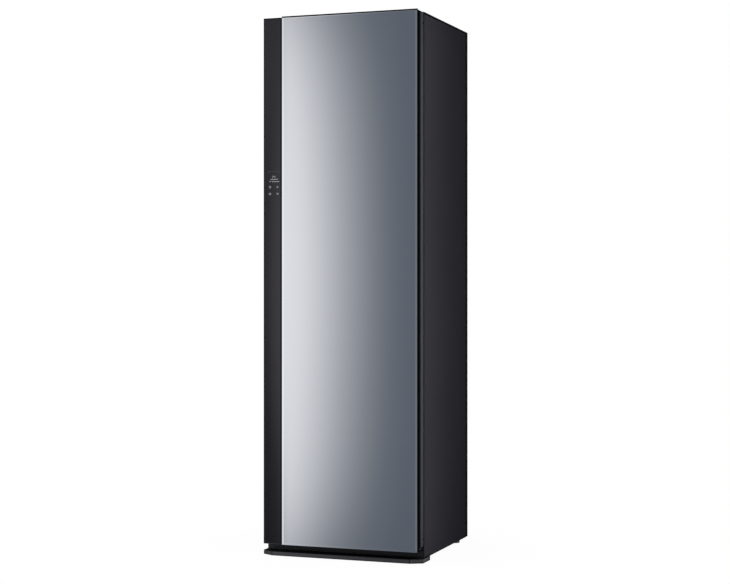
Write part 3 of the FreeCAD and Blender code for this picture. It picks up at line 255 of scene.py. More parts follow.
def black_glass(name):
    """Back-painted control glass: black and polished, with a matt dark border that is partly print and
    partly painted shadow of the mirror's edge.
    """
    f = new_finish(name)
    x, y, z = f.along()
    # the matt dark border: on the side by the mirror it is painted shadow of the mirror's edge, on the
    # other edges a printed border
    sides = x.step(-0.2964, -0.2950) * x.step(-0.2315, -0.2328)
    clear = sides * z.step(1.9560, 1.9545) * y.step(-0.2816, -0.2818)
    cloud = f.noise(6.0)
    ink = f.mix(cloud, colour(0.0040, 0.0038, 0.0056), colour(0.0052, 0.0050, 0.0070))
    border = colour(0.0016, 0.0015, 0.0020)
    return f.shader(Base_Color=f.mix(clear, border, ink), Specular_Tint=colour(1.0, 0.95, 1.03),
                    IOR=1.62, Roughness=0.62 - 0.575 * clear + 0.01 * (cloud - 0.5))


def dark_anodised(name):
    """Dark anodised frame, brushed upwards; its front rim behind the glasses is painted black and matt
    as shade.
    """
    f = new_finish(name)
    x, y, z = f.along()
    lines, smears = brushed(f, 2)
    # painted shade: the front rim, in the gap behind the glasses, is coloured black
    rim = y.step(-0.2680, -0.2695)
    shade = f.mix(lines, colour(0.072, 0.072, 0.082), colour(0.086, 0.086, 0.097))
    return f.shader(Base_Color=f.mix(rim, shade, grey(0.004)), Metallic=1.0 - rim,
                    Roughness=0.42 + 0.12 * (lines - 0.5) + 0.08 * (smears - 0.5) + 0.4 * rim,
                    Specular_IOR_Level=0.2, Normal=f.bump(lines, BRUSH_DEPTH))


def kick_black(name):
    """Black moulding of the plinth: painted shadow makes its lowest strip over the base plate and its
    right end face near black, and painted light makes it paler towards the foot.
    """
    f = new_finish(name)
    x, y, z = f.along()
    pits = f.noise(GRAIN_SCALE, 3.0)
    # painted shadow: the lowest strip and the right end face are coloured near black
    lit = z.step(0.0165, 0.0185) * x.step(0.2996, 0.2988)
    # painted light: the black turns paler towards the foot
    black = f.mix(z.step(0.042, 0.019), grey(0.0085, 1.1), grey(0.024, 1.1))
    return f.shader(Base_Color=f.mix(lit, grey(0.0006), black), Specular_IOR_Level=0.4,
                    Roughness=0.85 - 0.3 * lit + 0.1 * (pits - 0.5),
                    Normal=f.bump(pits, GRAIN_DEPTH))


def plinth_plastic(name, level):
    """Charcoal moulding, matt on top: painted shadow makes the top black and draws a dark line at the
    floor, and painted light makes one end paler.
    """
    f = new_finish(name)
    x, y, z = f.along()
    pits = f.noise(GRAIN_SCALE, 3.0)
    # painted shadow: the top face is coloured near black
    top = z.step(0.0141, 0.0149)
    # painted shadow: a dark line along the foot at the floor
    floor_shadow_line = z.step(0.0046, 0.0026)
    # painted light: the right end and its front are coloured paler
    painted_light_end = x.step(0.262, 0.270) * (0.55 + 0.45 * y.step(-0.278, -0.286))
    body = f.mix(f.noise(9.0), grey(level, 1.12), grey(level * 1.12, 1.12))
    body = f.mix(painted_light_end, body, grey(level * 3.1, 1.05))
    body = f.mix(floor_shadow_line, body, grey(level * 0.22, 1.05))
    return f.shader(Base_Color=f.mix(top, body, grey(0.0006)), Specular_IOR_Level=0.4,
                    Roughness=0.42 + 0.5 * top + 0.1 * (pits - 0.5),
                    Normal=f.bump(pits, GRAIN_DEPTH))


def backing_black(name):
    """Matt black board behind the mirror, sprayed over its sawn edge."""
    f = new_finish(name)
    fibres = f.noise(700.0, 3.0)
    shade = f.mix(fibres, grey(0.0006, 1.4), grey(0.0016, 1.3))
    return f.shader(Base_Color=shade, Specular_IOR_Level=0.02,
                    Roughness=0.92 + 0.05 * (fibres - 0.5), Normal=f.bump(fibres, 0.0002))


THREAD_PITCH = 0.0011


def cover_cloth(name):
    """Heat-proof woven cover: a fine plain weave with a soft silver cast."""
    f = new_finish(name)
    x, y, z = f.along()
    threads = 2 * math.pi / THREAD_PITCH
    weave = x.math("SINE", x * threads) * z.math("SINE", z * threads)
    slubs = f.noise(1.0, 3.0, f.stretched(70.0, 70.0, 900.0))
    shade = f.mix(0.5 + 0.32 * weave + 0.5 * (slubs - 0.5),
                  colour(0.20, 0.205, 0.215), colour(0.30, 0.305, 0.315))
    return f.shader(Base_Color=shade, Roughness=0.82 + 0.08 * (slubs - 0.5), Sheen_Weight=0.25,
                    Normal=f.bump(0.5 + 0.5 * weave, 0.0001, Normal=f.bump(slubs, 0.0002)))


FEET = {"foot_front_left": (-270.0, -150.0), "foot_front_right": (270.0, -150.0),
        "foot_rear_left": (-270.0, 235.0), "foot_rear_right": (270.0, 235.0)}

# Finish of every CAD node: nodes that share one stand in one name.
FINISHES = {
    casing_paint: {"side_panels top_panel": ()},
    kick_black: {"toe_kick": ()},
    mirror_coat: {"mirror_glass": ()},
    backing_black: {"mirror_backing": ()},
    black_glass: {"control_glass": ()},
    dark_anodised: {"door_frame": ()},
    cover_cloth: {"press_board": ()},
    plinth_plastic: {"front_base_plate": (0.037,), "base_corner_caps": (0.023,)},
    satin_paint: {
        "back_panel": (grey(0.045, 1.1), 0.45),
        "hanger_motor fan_motor": (grey(0.06),),
        "compressor": (grey(0.012), 0.25),
        "top_hinge_bracket bottom_hinge_bracket": (grey(0.008),),
        "door_front_sheet": (grey(0.012),)},
    plated_steel: {
        "base_pan": (grey(0.42),),
        "cabinet_screws": (grey(0.42),),
        "drive_frame": (colour(0.60, 0.60, 0.62),)},
    brushed_metal: {
        "guide_rods": (grey(0.82), 0, 0.12),
        "heat_exchangers": (grey(0.75), 2),
        "steam_generator": (grey(0.62), 2),
        "refrigerant_pipes": (colour(0.72, 0.42, 0.28), 1),
        "press_brackets": (grey(0.5), 2),
        "hanger_carriage": (grey(0.68), 0),
        "hanger_rail": (colour(0.66, 0.67, 0.70), 0)},
    soft_rubber: {
        "drive_belt compressor_mounts cord_gland": (grey(0.015),),
        "water_hoses": (colour(0.42, 0.42, 0.44), 0.5),
        "door_gasket": (grey(0.09, 1.03),)},
    moulded_plastic: {
        "inner_liner": (colour(0.60, 0.61, 0.62), 0.38),
        "door_inner_liner": (colour(0.58, 0.59, 0.60), 0.38),
        "press_plate": (colour(0.58, 0.59, 0.61), 0.35),
        "insulation_panels door_insulation": (colour(0.72, 0.66, 0.5), 0.9, 0.0006, 300.0),
        "lower_front_frame": (colour(0.36, 0.37, 0.385), 0.42),
        "water_tank drain_tank": (colour(0.23, 0.245, 0.27), 0.25),
        "cabin_lamp": (colour(0.9, 0.9, 0.86), 0.3),
        "door_bushes": (colour(0.62, 0.61, 0.58),),
        "display_board": (colour(0.01, 0.03, 0.02),),
        "hinge_cover": (grey(0.006, 1.1),),
        "outlet_grille": (grey(0.34, 1.03),),
        "steam_nozzle": (grey(0.22, 1.03),),
        "shelf": (grey(0.42, 1.03),),
        "lint_filter": (grey(0.17, 1.03),),
        "water_tank_lid": (grey(0.14, 1.05),),
        "tank_bay": (grey(0.11, 1.03),),
        " ".join(FEET): (grey(0.10, 1.03),),
        "duct_housing": (grey(0.22),),
        "control_box": (grey(0.42),),
        "water_and_drain_pumps": (grey(0.05),),
        "crank_pulley": (grey(0.05),),
        "motor_pulley": (grey(0.06),),
        "fan_impeller": (grey(0.07),)},
}


def finish_nodes():
    """Make each finish once and give it to its nodes."""
    for kind, rows in FINISHES.items():
        for sharing, values in rows.items():
            sharing = sharing.split()
            material = kind(sharing[0] + "_finish", *values)
            for name in sharing:
                for place in nodes[name].material_slots:
                    place.material = material


# ---- meshes
def put(name, data):
    """A new object in the scene."""
    thing = bpy.data.objects.new(name, data)
    scene.collection.objects.link(thing)
    return thing


def drawn(add, *each):
    """A new shape, drawn by one function from each set of arguments."""
    bm = bmesh.new()
    for arguments in each:
        add(bm, *arguments)
    return bm


def add_block(bm, low, high, radius=0.0):
    """A block in millimetres; with a radius all its edges are rounded."""
    verts = bmesh.ops.create_cube(bm, size=1.0)["verts"]
    size = [b - a for a, b in zip(low, high)]
    middle = [(a + b) / 2 for a, b in zip(low, high)]
    bmesh.ops.scale(bm, verts=verts, vec=Vector(size))
    bmesh.ops.translate(bm, verts=verts, vec=Vector(middle))
    if radius > 0:
        round_edges(bm, {edge for vert in verts for edge in vert.link_edges}, radius)


def round_edges(bm, edges, radius, segments=2):
    bmesh.ops.bevel(bm, geom=list(edges), offset=radius, segments=segments, profile=0.5,
                    affect="EDGES", clamp_overlap=True)


def spot(plane, a, b, level):
    """The point (a, b) of the "xy", "xz" or "yz" plane, at a level."""
    return {"xy": (a, b, level), "xz": (a, level, b), "yz": (level, a, b)}[plane]


def add_slab(bm, outline, plane, low, high):
    """A flat outline drawn in a plane and given thickness."""
    join_capped(bm, [[spot(plane, a, b, level) for a, b in outline] for level in (low, high)])


def skin(bm, first, second):
    """Faces between two rows of vertices."""
    for corners in zip(first, first[1:], second[1:], second):
        bm.faces.new(corners)


def join_rings(bm, rings, closed=False):
    """Skin rings of points; closed joins the last ring to the first."""
    rings = [[bm.verts.new(point) for point in ring] for ring in rings]
    for first, second in zip(rings, rings[1:] + rings[:closed]):
        skin(bm, first + first[:1], second + second[:1])
    return rings


def join_capped(bm, rings):
    """Skin rings of points and close both ends."""
    rings = join_rings(bm, rings)
    bm.faces.new(rings[0])
    bm.faces.new(rings[-1])


CORNER_STEPS = 6


def rounded_loop(left, right, low, high, radius, outset=0.0):
    """Points round a rectangle with rounded corners, moved outwards by outset."""
    reach = radius + outset
    corners = ((right - radius, high - radius), (left + radius, high - radius),
               (left + radius, low + radius), (right - radius, low + radius))
    return [(x + reach * math.cos(angle), z + reach * math.sin(angle))
            for quarter, (x, z) in enumerate(corners)
            for angle in ((quarter + step / CORNER_STEPS) * math.pi / 2
                          for step in range(CORNER_STEPS + 1))]


def add_frame(bm, rectangle, radius, profile):
    """Sweep a closed profile of (outset, y) round an upright rounded rectangle."""
    join_rings(bm, [[(a, y, b) for a, b in rounded_loop(*rectangle, radius, outset)]
                    for outset, y in profile], closed=True)


FIELD_RIM = ((0.0, 0.0), (-0.35, 0.45), (-0.7, 0.85), (-1.0, 1.0))


def add_field(bm, rectangle, radius, base, top, slope, plane="xz"):
    """A raised field with a rounded rim, standing on a surface."""
    join_capped(bm, [[spot(plane, a, b, base + (top - base) * share)
                      for a, b in rounded_loop(*rectangle, radius, slope * inward)]
                     for inward, share in FIELD_RIM])


def free_mesh(bm):
    mesh = bpy.data.meshes.new("shape")
    bm.to_mesh(mesh)
    bm.free()
    return mesh


def mesh_from(bm):
    """Close a shape drawn in millimetres and give it as a mesh in metres."""
    bmesh.ops.remove_doubles(bm, verts=bm.verts, dist=0.001)
    bmesh.ops.recalc_face_normals(bm, faces=bm.faces)
    bmesh.ops.scale(bm, verts=bm.verts, vec=Vector((MM,) * 3))
    return free_mesh(bm)


CREASE = 32.0
FIELD_CREASE = 20.0


def place_piece(name, shape, finish, body, stands_for=(), crease=CREASE):
    """Put a shape on its body and the nodes it stands for."""
    mesh = mesh_from(shape) if isinstance(shape, bmesh.types.BMesh) else shape
    mesh.name = name
    if finish is not None:
        mesh.materials.clear()
        mesh.materials.append(finish)
    mesh.polygons.foreach_set("use_smooth", [True] * len(mesh.polygons))
    mesh.set_sharp_from_angle(angle=math.radians(crease))
    piece = put(name, mesh)
    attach(piece, body)
    if stands_for:
        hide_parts(*stands_for)
    return piece


def node_copy(node):
    """A CAD node's mesh in millimetres, merged, its flat faces made whole."""
    bm = bmesh.new()
    bm.from_mesh(nodes[node].data)
    bmesh.ops.remove_doubles(bm, verts=bm.verts, dist=0.000001)
    bmesh.ops.scale(bm, verts=bm.verts, vec=Vector((1 / MM,) * 3))
    bmesh.ops.dissolve_limit(bm, angle_limit=math.radians(1.0), verts=bm.verts, edges=bm.edges)
    return bm


SHARP = 0.6


def ease_edges(bm, chosen, radius, segments=2):
    """Round the sharp edges that the test picks out."""
    round_edges(bm, [edge for edge in bm.edges if len(edge.link_faces) == 2
                     and edge.calc_face_angle(0.0) > SHARP and chosen(edge)], radius, segments)


def evaluated(thing):
    """The mesh that an object's modifiers give; the modifiers go."""
    graph = bpy.context.evaluated_depsgraph_get()
    mesh = bpy.data.meshes.new_from_object(thing.evaluated_get(graph), depsgraph=graph)
    thing.modifiers.clear()
    return mesh


# ---- repeated patterns
SOCKET_KINDS = {int: "Int", float: "Float", Vector: "Vector",
                bpy.types.Object: "Object", bpy.types.Material: "Material"}


class Pattern(Nodes):
    """Geometry nodes that repeat a template; every size is a named input."""

    def __init__(self, name, bm, finish, **sizes):
        tree = bpy.data.node_groups.new(name, "GeometryNodeTree")
        tree.is_modifier = True
        super().__init__(tree)
        self.inputs = {"Template": put("template", mesh_from(bm)), "Finish": finish, **sizes}
        for direction in ("OUTPUT", "INPUT"):
            tree.interface.new_socket("Geometry", in_out=direction, socket_type="NodeSocketGeometry")
        for label, value in self.inputs.items():
            kind = "NodeSocket" + SOCKET_KINDS[type(value)]
            tree.interface.new_socket(label, in_out="INPUT", socket_type=kind)
        self.start = tree.nodes.new("NodeGroupInput")

    def __getitem__(self, label):
        return Value(self, self.start.outputs[label])

    def facing(self, axis, aim, **settings):
        """The turn that points an axis of the template along a direction."""
        return self.add("FunctionNodeAlignRotationToVector", {"Vector": aim}, axis=axis, **settings)

    def repeated(self, points, **placing):
        """The template on every point; Rotation= and Scale= place it."""
        template = self.add("GeometryNodeObjectInfo", {"Object": self["Template"]}, "Geometry")
        return self.add("GeometryNodeInstanceOnPoints",
                        {"Points": points, "Instance": template, **placing})

    def make(self, instances, host=None):
        """Finish the tree, run it on the host mesh and give the result as a mesh."""
        real = self.add("GeometryNodeRealizeInstances", {0: instances})
        done = self.add("GeometryNodeSetMaterial", {"Geometry": real, "Material": self["Finish"]})
        end = self.tree.nodes.new("NodeGroupOutput")
        self.tree.links.new(done.socket, end.inputs[0])
        carrier = put("pattern_carrier", host or bpy.data.meshes.new("pattern_carrier"))
        modifier = carrier.modifiers.new("pattern", "NODES")
        modifier.node_group = self.tree
        for item in self.tree.interface.items_tree:
            if item.in_out == "INPUT" and item.name in self.inputs:
                modifier[item.identifier] = self.inputs[item.name]
        mesh = evaluated(carrier)
        bpy.data.objects.remove(carrier)
        bpy.data.objects.remove(self.inputs["Template"])
        return mesh


def in_row(name, bm, finish, count, start, pitch):
    """The template repeated in a straight row; start and pitch in millimetres."""
    row = Pattern(name, bm, finish, Count=count, Start=Vector(start) * MM, Pitch=Vector(pitch) * MM)
    line = row.add("GeometryNodeMeshLine", {"Count": row["Count"], "Start Location": row["Start"],
                                            "Offset": row["Pitch"]}, mode="OFFSET")
    return row.make(row.repeated(line))


def in_ring(name, bm, finish, count, radius, centre):
    """The template repeated round an upright axis, its +X facing outwards."""
    ring = Pattern(name, bm, finish, Count=count, Radius=radius * MM, Centre=Vector(centre) * MM)
    circle = ring.add("GeometryNodeMeshCircle",
                      {"Vertices": ring["Count"], "Radius": ring["Radius"]})
    turn = ring.facing("X", ring.add("GeometryNodeInputPosition"), pivot_axis="Z")
    return ring.make(ring.add("GeometryNodeTransform", {
        "Geometry": ring.repeated(circle, Rotation=turn), "Translation": ring["Centre"]}))


def at_places(name, bm, finish, places):
    """The template at each (place, direction of its +Z), in millimetres."""
    host = bpy.data.meshes.new("places")
    host.from_pydata([Vector(place) * MM for place, aim in places], [], [])
    aims = host.attributes.new("aim", "FLOAT_VECTOR", "POINT")
    for index, (place, aim) in enumerate(places):
        aims.data[index].vector = aim
    spread = Pattern(name, bm, finish, Scale=1.0)
    aim = spread.add("GeometryNodeInputNamedAttribute", {"Name": "aim"}, "Attribute",
                     data_type="FLOAT_VECTOR")
    return spread.make(spread.repeated(spread["Geometry"], Rotation=spread.facing("Z", aim),
                                       Scale=spread["Scale"]), host)


def along_path(name, bm, finish, points, pitch):
    """The template at equal steps along a closed path, its +X along the path."""
    host = bpy.data.meshes.new("path")
    count = len(points)
    host.from_pydata([Vector(point) * MM for point in points],
                     [(index, (index + 1) % count) for index in range(count)], [])
    row = Pattern(name, bm, finish, Pitch=pitch * MM)
    curve = row.add("GeometryNodeMeshToCurve", {"Mesh": row["Geometry"]})
    steps = row.add("GeometryNodeCurveToPoints", {"Curve": curve, "Length": row["Pitch"]},
                    mode="LENGTH")
    tangent = Value(row, steps.socket.node.outputs["Tangent"])
    return row.make(row.repeated(steps, Rotation=row.facing("X", tangent)), host)


def joined(meshes):
    """Several meshes made one."""
    bm = bmesh.new()
    for mesh in meshes:
        bm.from_mesh(mesh)
    return free_mesh(bm)


# ---- door front and edges
DOOR_RIGHT, DOOR_LOW, DOOR_TOP = 300.0, 43.0, 1960.0
MIRROR_LEFT = -218.5
MIRROR_EDGE = ((0.0, -301.0), (0.0, -304.0), (1.8, -304.48), (7.8, -305.0))
GLASS_FACE = -282.0
PRINT_RISE = 0.12
DIGIT_STROKES = {"0": "abcdef", "4": "bcfg", "5": "acdfg"}
DIGIT_WIDTH, DIGIT_HEIGHT, DIGIT_STROKE = 2.6, 5.6, 1.1


def add_mark(bm, outline):
    """A printed mark on the control glass, drawn as (x, z)."""
    add_slab(bm, outline, "xz", GLASS_FACE - PRINT_RISE, GLASS_FACE + PRINT_RISE)


def bar(x, z, width, height):
    """A rectangle about its middle."""
    right, high = width / 2, height / 2
    return [(x - right, z - high), (x + right, z - high), (x + right, z + high), (x - right, z + high)]


def add_arc(bm, x, z, radius, stroke, start=0.0, sweep=360.0, steps=24):
    """A printed ring or part of one, angles in degrees."""
    def points(reach, count):
        angles = [math.radians(start + sweep * step / steps) for step in range(count)]
        return [(x + reach * math.cos(a), z + reach * math.sin(a)) for a in angles]
    inner, outer = radius - stroke / 2, radius + stroke / 2
    if sweep < 360.0:
        add_mark(bm, points(outer, steps + 1) + points(inner, steps + 1)[::-1])
        return
    section = ((inner, -1), (outer, -1), (outer, 1), (inner, 1))
    join_rings(bm, [[(a, GLASS_FACE + side * PRINT_RISE, b) for a, b in points(reach, steps)]
                    for reach, side in section], closed=True)


def add_digit(bm, sign, x, z):
    """A seven-stroke digit with its middle at x, z."""
    side, half = DIGIT_WIDTH / 2, DIGIT_HEIGHT / 2
    across = (DIGIT_WIDTH, DIGIT_STROKE)
    upright = (DIGIT_STROKE, half - 0.1)
    places = {"a": (0.0, half, *across), "g": (0.0, 0.0, *across), "d": (0.0, -half, *across),
              "b": (side, half / 2, *upright), "c": (side, -half / 2, *upright),
              "f": (-side, half / 2, *upright), "e": (-side, -half / 2, *upright)}
    for stroke in DIGIT_STROKES[sign]:
        right, rise, width, height = places[stroke]
        add_mark(bm, bar(x + right, z + rise, width, height))


def make_display_marks():
    """Lit digits, programme dots, progress line and four touch signs."""
    bright = bmesh.new()
    for sign, x in zip("045", (-264.4, -259.6, -254.8)):
        add_digit(bright, sign, x, 1381.0)
    left, right, upper, lower = -274.8, -245.2, 1343.2, 1318.4
    for each in ((-270.5, 1371.6, 4.2, 3.4), (-263.0, 1371.6, 6.4, 3.4),
                 (-255.6, 1371.6, 4.2, 3.4), (-248.0, 1371.6, 7.2, 3.4),
                 (-251.6, 1363.0, 27.0, 2.4), (left, upper + 2.6, 1.5, 4.6),
                 (left, lower + 1.0, 1.2, 3.0), (left + 0.9, lower, 2.4, 1.2),
                 *((right, lower + rise, 7.4, 1.4) for rise in (-2.6, 0.0, 2.6))):
        add_mark(bright, bar(*each))
    for each in ((-274.6, 1363.4, 1.3, 1.6, 0.0, 360.0, 16), (-266.2, 1363.2, 1.0, 1.6, 0.0, 360.0, 16),
                 (left, upper, 3.4, 1.5, 120.0, 300.0), (left, lower, 3.6, 1.4)):
        add_arc(bright, *each)
    add_mark(bright, [(right - 2.6, upper - 3.8), (right + 3.8, upper), (right - 2.6, upper + 3.8)])
    glow = new_finish("lit_print")
    shade = glow.mix(glow.noise(900.0), grey(0.27, 1.08), grey(0.34, 1.08))
    lit = glow.shader(Base_Color=shade, Roughness=0.5 + 0.1 * (glow.noise(400.0) - 0.5),
                      Emission_Color=shade, Emission_Strength=0.14)
    place_piece("display_marks", bright, lit, "door")
    dots = drawn(add_arc, *((-281.0 + 7.6 * step, 1399.8, 0.8, 1.2, 0.0, 360.0, 12)
                            for step in range(6)))
    dim = moulded_plastic("dim_print", grey(0.085, 1.03))
    place_piece("programme_dots", dots, dim, "door")


def matt_black(name):
    """Black rubber or shadowed plastic that hardly shines."""
    f = new_finish(name)
    grain = f.noise(800.0)
    return f.shader(Base_Color=f.mix(grain, grey(0.0012, 1.2), grey(0.0030, 1.2)),
                    Specular_IOR_Level=0.12, Roughness=0.85 + 0.1 * (grain - 0.5),
                    Normal=f.bump(grain, GRAIN_DEPTH))


def make_edge_trims():
    """Black clip-on profiles over the top, rear and lower edges of the casing sides."""
    outer, rear = 300.4, 303.4
    upright = ((299.3, -227.6, 1951.0, 1956.4), (298.3, -227.6, 1955.9, 1959.0),
               (299.3, 277.0, 16.4, 1953.0))
    tapered = ((-183.5, 12.2), (270.0, 15.4), (277.0, 16.6), (-183.5, 16.6))
    bm = bmesh.new()
    for side in (-1, 1):
        for inner, near, floor, top in upright:
            low, high = sorted((side * inner, side * outer))
            add_block(bm, (low, near, floor), (high, rear, top), 0.35)
        add_slab(bm, tapered, "yz", side * 296.5, side * outer)
    place_piece("edge_trims", bm, matt_black("edge_trim_black"), "cabinet")


def make_mirror(finish):
    """Mirror slab with a ground edge and a wide, shallow bevel all round."""
    rings = []
    for inset, y in MIRROR_EDGE:
        left, right = MIRROR_LEFT + inset, DOOR_RIGHT - inset
        low, high = DOOR_LOW + inset, DOOR_TOP - inset
        rings.append([(left, y, low), (right, y, low), (right, y, high), (left, y, high)])
    bm = drawn(join_capped, (rings,))
    place_piece("mirror_slab", bm, finish, "door", ("mirror_glass",), crease=1.0)


def make_strip_rim():
    """Thin black profiles round the control glass, a black sheet on the glass beside the mirror as
    painted shadow, and the drip lip under it.
    """
    bm = drawn(add_block, ((-300.0, -282.2, 43.3), (-298.7, -278.8, 1959.7), 0.25),
               ((-299.4, -282.25, 1956.9), (-222.0, -279.2, 1959.8), 0.25),
               # a thin black sheet on the glass's face by the mirror: painted shadow of the mirror's
               # edge
               ((-233.2, -282.2, 43.6), (-222.0, -281.7, 1958.0), 0.2))
    place_piece("strip_rim", bm, matt_black("strip_rim_black"), "door")
    lip = drawn(add_block, ((-299.6, -282.0, 41.2), (-221.0, -279.2, 43.1), 0.4))
    lip_grey = moulded_plastic("lip_grey", grey(0.035, 1.1), 0.45)
    place_piece("strip_lip", lip, lip_grey, "door")


def make_stile_caps():
    """Oval caps over the end screws of the hinge-side stile."""
    middle, straight, radius, steps = -241.5, 5.5, 2.0, 20
    bm = bmesh.new()
    for z in (1918.4, 82.2):
        outline = [(middle + math.copysign(straight, math.cos(a)) + radius * math.cos(a),
                    z + radius * math.sin(a))
                   for a in (2 * math.pi * (step + 0.5) / steps for step in range(steps))]
        add_slab(bm, outline, "yz", 299.6, 300.25)
    place_piece("stile_caps", bm, matt_black("stile_cap_black"), "door")


def make_hinge_cover(finish):
    """Hinge cover with softly rounded upper edges."""
    bm = node_copy("hinge_cover")
    ease_edges(bm, lambda edge: all(vert.co.z > DOOR_TOP - 0.1 for vert in edge.verts), 1.6, 4)
    place_piece("hinge_cap", bm, finish, "cabinet", ("hinge_cover",))


def make_base_pieces(finish, cap_finish):
    """Base plate and corner caps with eased edges, and the seams between them."""
    plate = node_copy("front_base_plate")
    ease_edges(plate, lambda edge: True, 1.2)
    place_piece("base_plate", plate, finish, "cabinet", ("front_base_plate",))
    caps = node_copy("base_corner_caps")
    ease_edges(caps, lambda edge: True, 1.4, 3)
    place_piece("corner_caps", caps, cap_finish, "cabinet", ("base_corner_caps",))
    strips = bmesh.new()
    for side in (-1, 1):
        low, high = sorted((side * 263.6, side * 266.4))
        add_block(strips, (low, -286.9, 0.4), (high, -284.0, 15.4), 0.3)
    place_piece("cap_seam_strips", strips, matt_black("seam_strip_black"), "cabinet")


# ---- door inside
SEAL_PROFILE = (
    (0.0, -235.0), (0.0, -234.0), (-1.6, -233.5), (-1.8, -232.9), (-0.6, -232.2), (-1.4, -231.4),
    (-0.2, -230.8), (-0.2, -229.2), (-1.2, -228.3), (-12.4, -228.3), (-13.6, -229.0),
    (-13.6, -230.4), (-11.6, -231.4), (-12.8, -232.2), (-11.4, -233.0), (-12.2, -233.8),
    (-14.0, -234.2), (-14.0, -235.0))


def make_door_seal(finish):
    """Bellows seal: a foot, two soft folds and a magnet head with a lip."""
    bm = drawn(add_frame, ((-280.0, 280.0, 76.0, 1896.0), 15.0, SEAL_PROFILE))
    place_piece("door_seal", bm, finish, "door", ("door_gasket",))


def make_door_liner_fields(finish):
    """Raised fields moulded in the door's inner lining, round the trouser press."""
    wide = (-246.0, 246.0)
    rectangles = ((-246.0, -190.0, 560.0, 1520.0), (196.0, 246.0, 560.0, 1520.0),
                  (*wide, 1560.0, 1850.0), (*wide, 130.0, 330.0), (*wide, 376.0, 520.0))
    bm = drawn(add_field, *((each, 14.0, -235.2, -232.6, 5.0) for each in rectangles))
    place_piece("door_liner_fields", bm, finish, "door")


PAD_MIDDLE = 1040.0
PAD_WIDE, PAD_TALL = 148.5, 388.5
PAD_BACK, PAD_FRONT, PAD_CROWN = -235.0, -229.6, -226.1
PAD_BOARD, PAD_EDGE = 2.0, 2.6
SEAM_INSET, SEAM_DEPTH, SEAM_SPREAD = 15.0, 1.8, 2.4
PAD_MESH = 5.0


def pad_lines(half):
    """Grid lines across the pad: close together at its rim and at the seam."""
    seam = half - SEAM_INSET
    rim = [seam - 6.0, seam - 2.5, seam, seam + 2.5, half - 7.5, half - 3.5, half - 1.2, half]
    reach = seam - 6.0
    count = int(2 * reach / PAD_MESH)
    inner = [-reach + 2 * reach * step / count for step in range(1, count)]
    return [-line for line in reversed(rim)] + inner + rim


def pad_sheet(bm, thickness):
    """One face of the pad as a grid; its sides draw in a little between the corners."""
    columns, rows = pad_lines(PAD_WIDE), pad_lines(PAD_TALL)
    grid = []
    for z in rows:
        line = []
        for x in columns:
            narrowed = x * (1.0 - 0.006 * (1.0 - (z / PAD_TALL) ** 2))
            lowered = z * (1.0 - 0.0022 * (1.0 - (x / PAD_WIDE) ** 2))
            edge = min(PAD_WIDE - abs(x), PAD_TALL - abs(z))
            swell = min(1.0, edge / 8.0) ** 0.5 * max(0.0, thickness - PAD_EDGE)
            line.append(bm.verts.new((narrowed, PAD_BACK + min(thickness, PAD_EDGE) + swell,
                                      PAD_MIDDLE + lowered)))
        grid.append(line)
    for lower, upper in zip(grid, grid[1:]):
        skin(bm, lower, upper)
    return grid


def from_seam(co):
    """Distance in millimetres from the sewn border inwards; negative outside it."""
    return min(PAD_WIDE - abs(co.x) / MM, PAD_TALL - abs(co.z / MM - PAD_MIDDLE)) - SEAM_INSET


def make_press_pad(finish):
    """Padded board of the trouser press: woven cover, foam and a sewn border."""
    bm = bmesh.new()
    back = pad_sheet(bm, 0.0)
    front = pad_sheet(bm, PAD_FRONT - PAD_BACK)
    for end in (0, -1):
        skin(bm, back[end], front[end])
        skin(bm, [row[end] for row in back], [row[end] for row in front])
    mesh = mesh_from(bm)
    rest = [vert.co.copy() for vert in mesh.vertices]
    swell_pad(mesh)
    board_face = PAD_BACK + PAD_BOARD
    for vert, start in zip(mesh.vertices, rest):
        if start.y / MM > board_face:
            groove = SEAM_DEPTH * math.exp(-(from_seam(start) / SEAM_SPREAD) ** 2)
            level = min(max(vert.co.y, start.y), PAD_CROWN * MM) - groove * MM
            vert.co = (start.x, max(level, board_face * MM), start.z)
        else:
            vert.co = start
    pad = place_piece("press_pad", mesh, finish, "door", ("press_board",), crease=70.0)
    stitch = drawn(add_block, ((-1.6, -0.45, -0.45), (1.6, 0.45, 0.45), 0.35))
    wide, tall = PAD_WIDE - SEAM_INSET, PAD_TALL - SEAM_INSET
    path = [(x, PAD_FRONT - SEAM_DEPTH + 0.5, z)
            for x, z in rounded_loop(-wide, wide, PAD_MIDDLE - tall, PAD_MIDDLE + tall, 2.0)]
    thread = moulded_plastic("sewing_thread", grey(0.48), 0.8)
    stitches = along_path("press_pad_stitches", stitch, thread, path, 4.6)
    place_piece("press_pad_stitches", stitches, None, "door")


def make_press_plate_fields(finish):
    """Raised panel and grip on the press plate's outer face, ribs on its inner face."""
    bm = drawn(add_field, ((-152.0, 168.0, 668.0, 1412.0), 12.0, -205.2, -203.8, 4.0),
               ((-146.0, -134.0, 985.0, 1095.0), 5.9, -204.0, -200.6, 2.4))
    rib = drawn(add_field, ((-130.0, 130.0, -3.0, 3.0), 2.9, 0.2, -0.9, 1.2))
    ribs = in_row("press_ribs", rib, finish, 15, (8.0, -219.0, 690.0), (0.0, 0.0, 50.0))
    place_piece("press_plate_fields", joined([mesh_from(bm), ribs]), finish, "press",
                crease=FIELD_CREASE)


CLOTH_FRAMES = 20


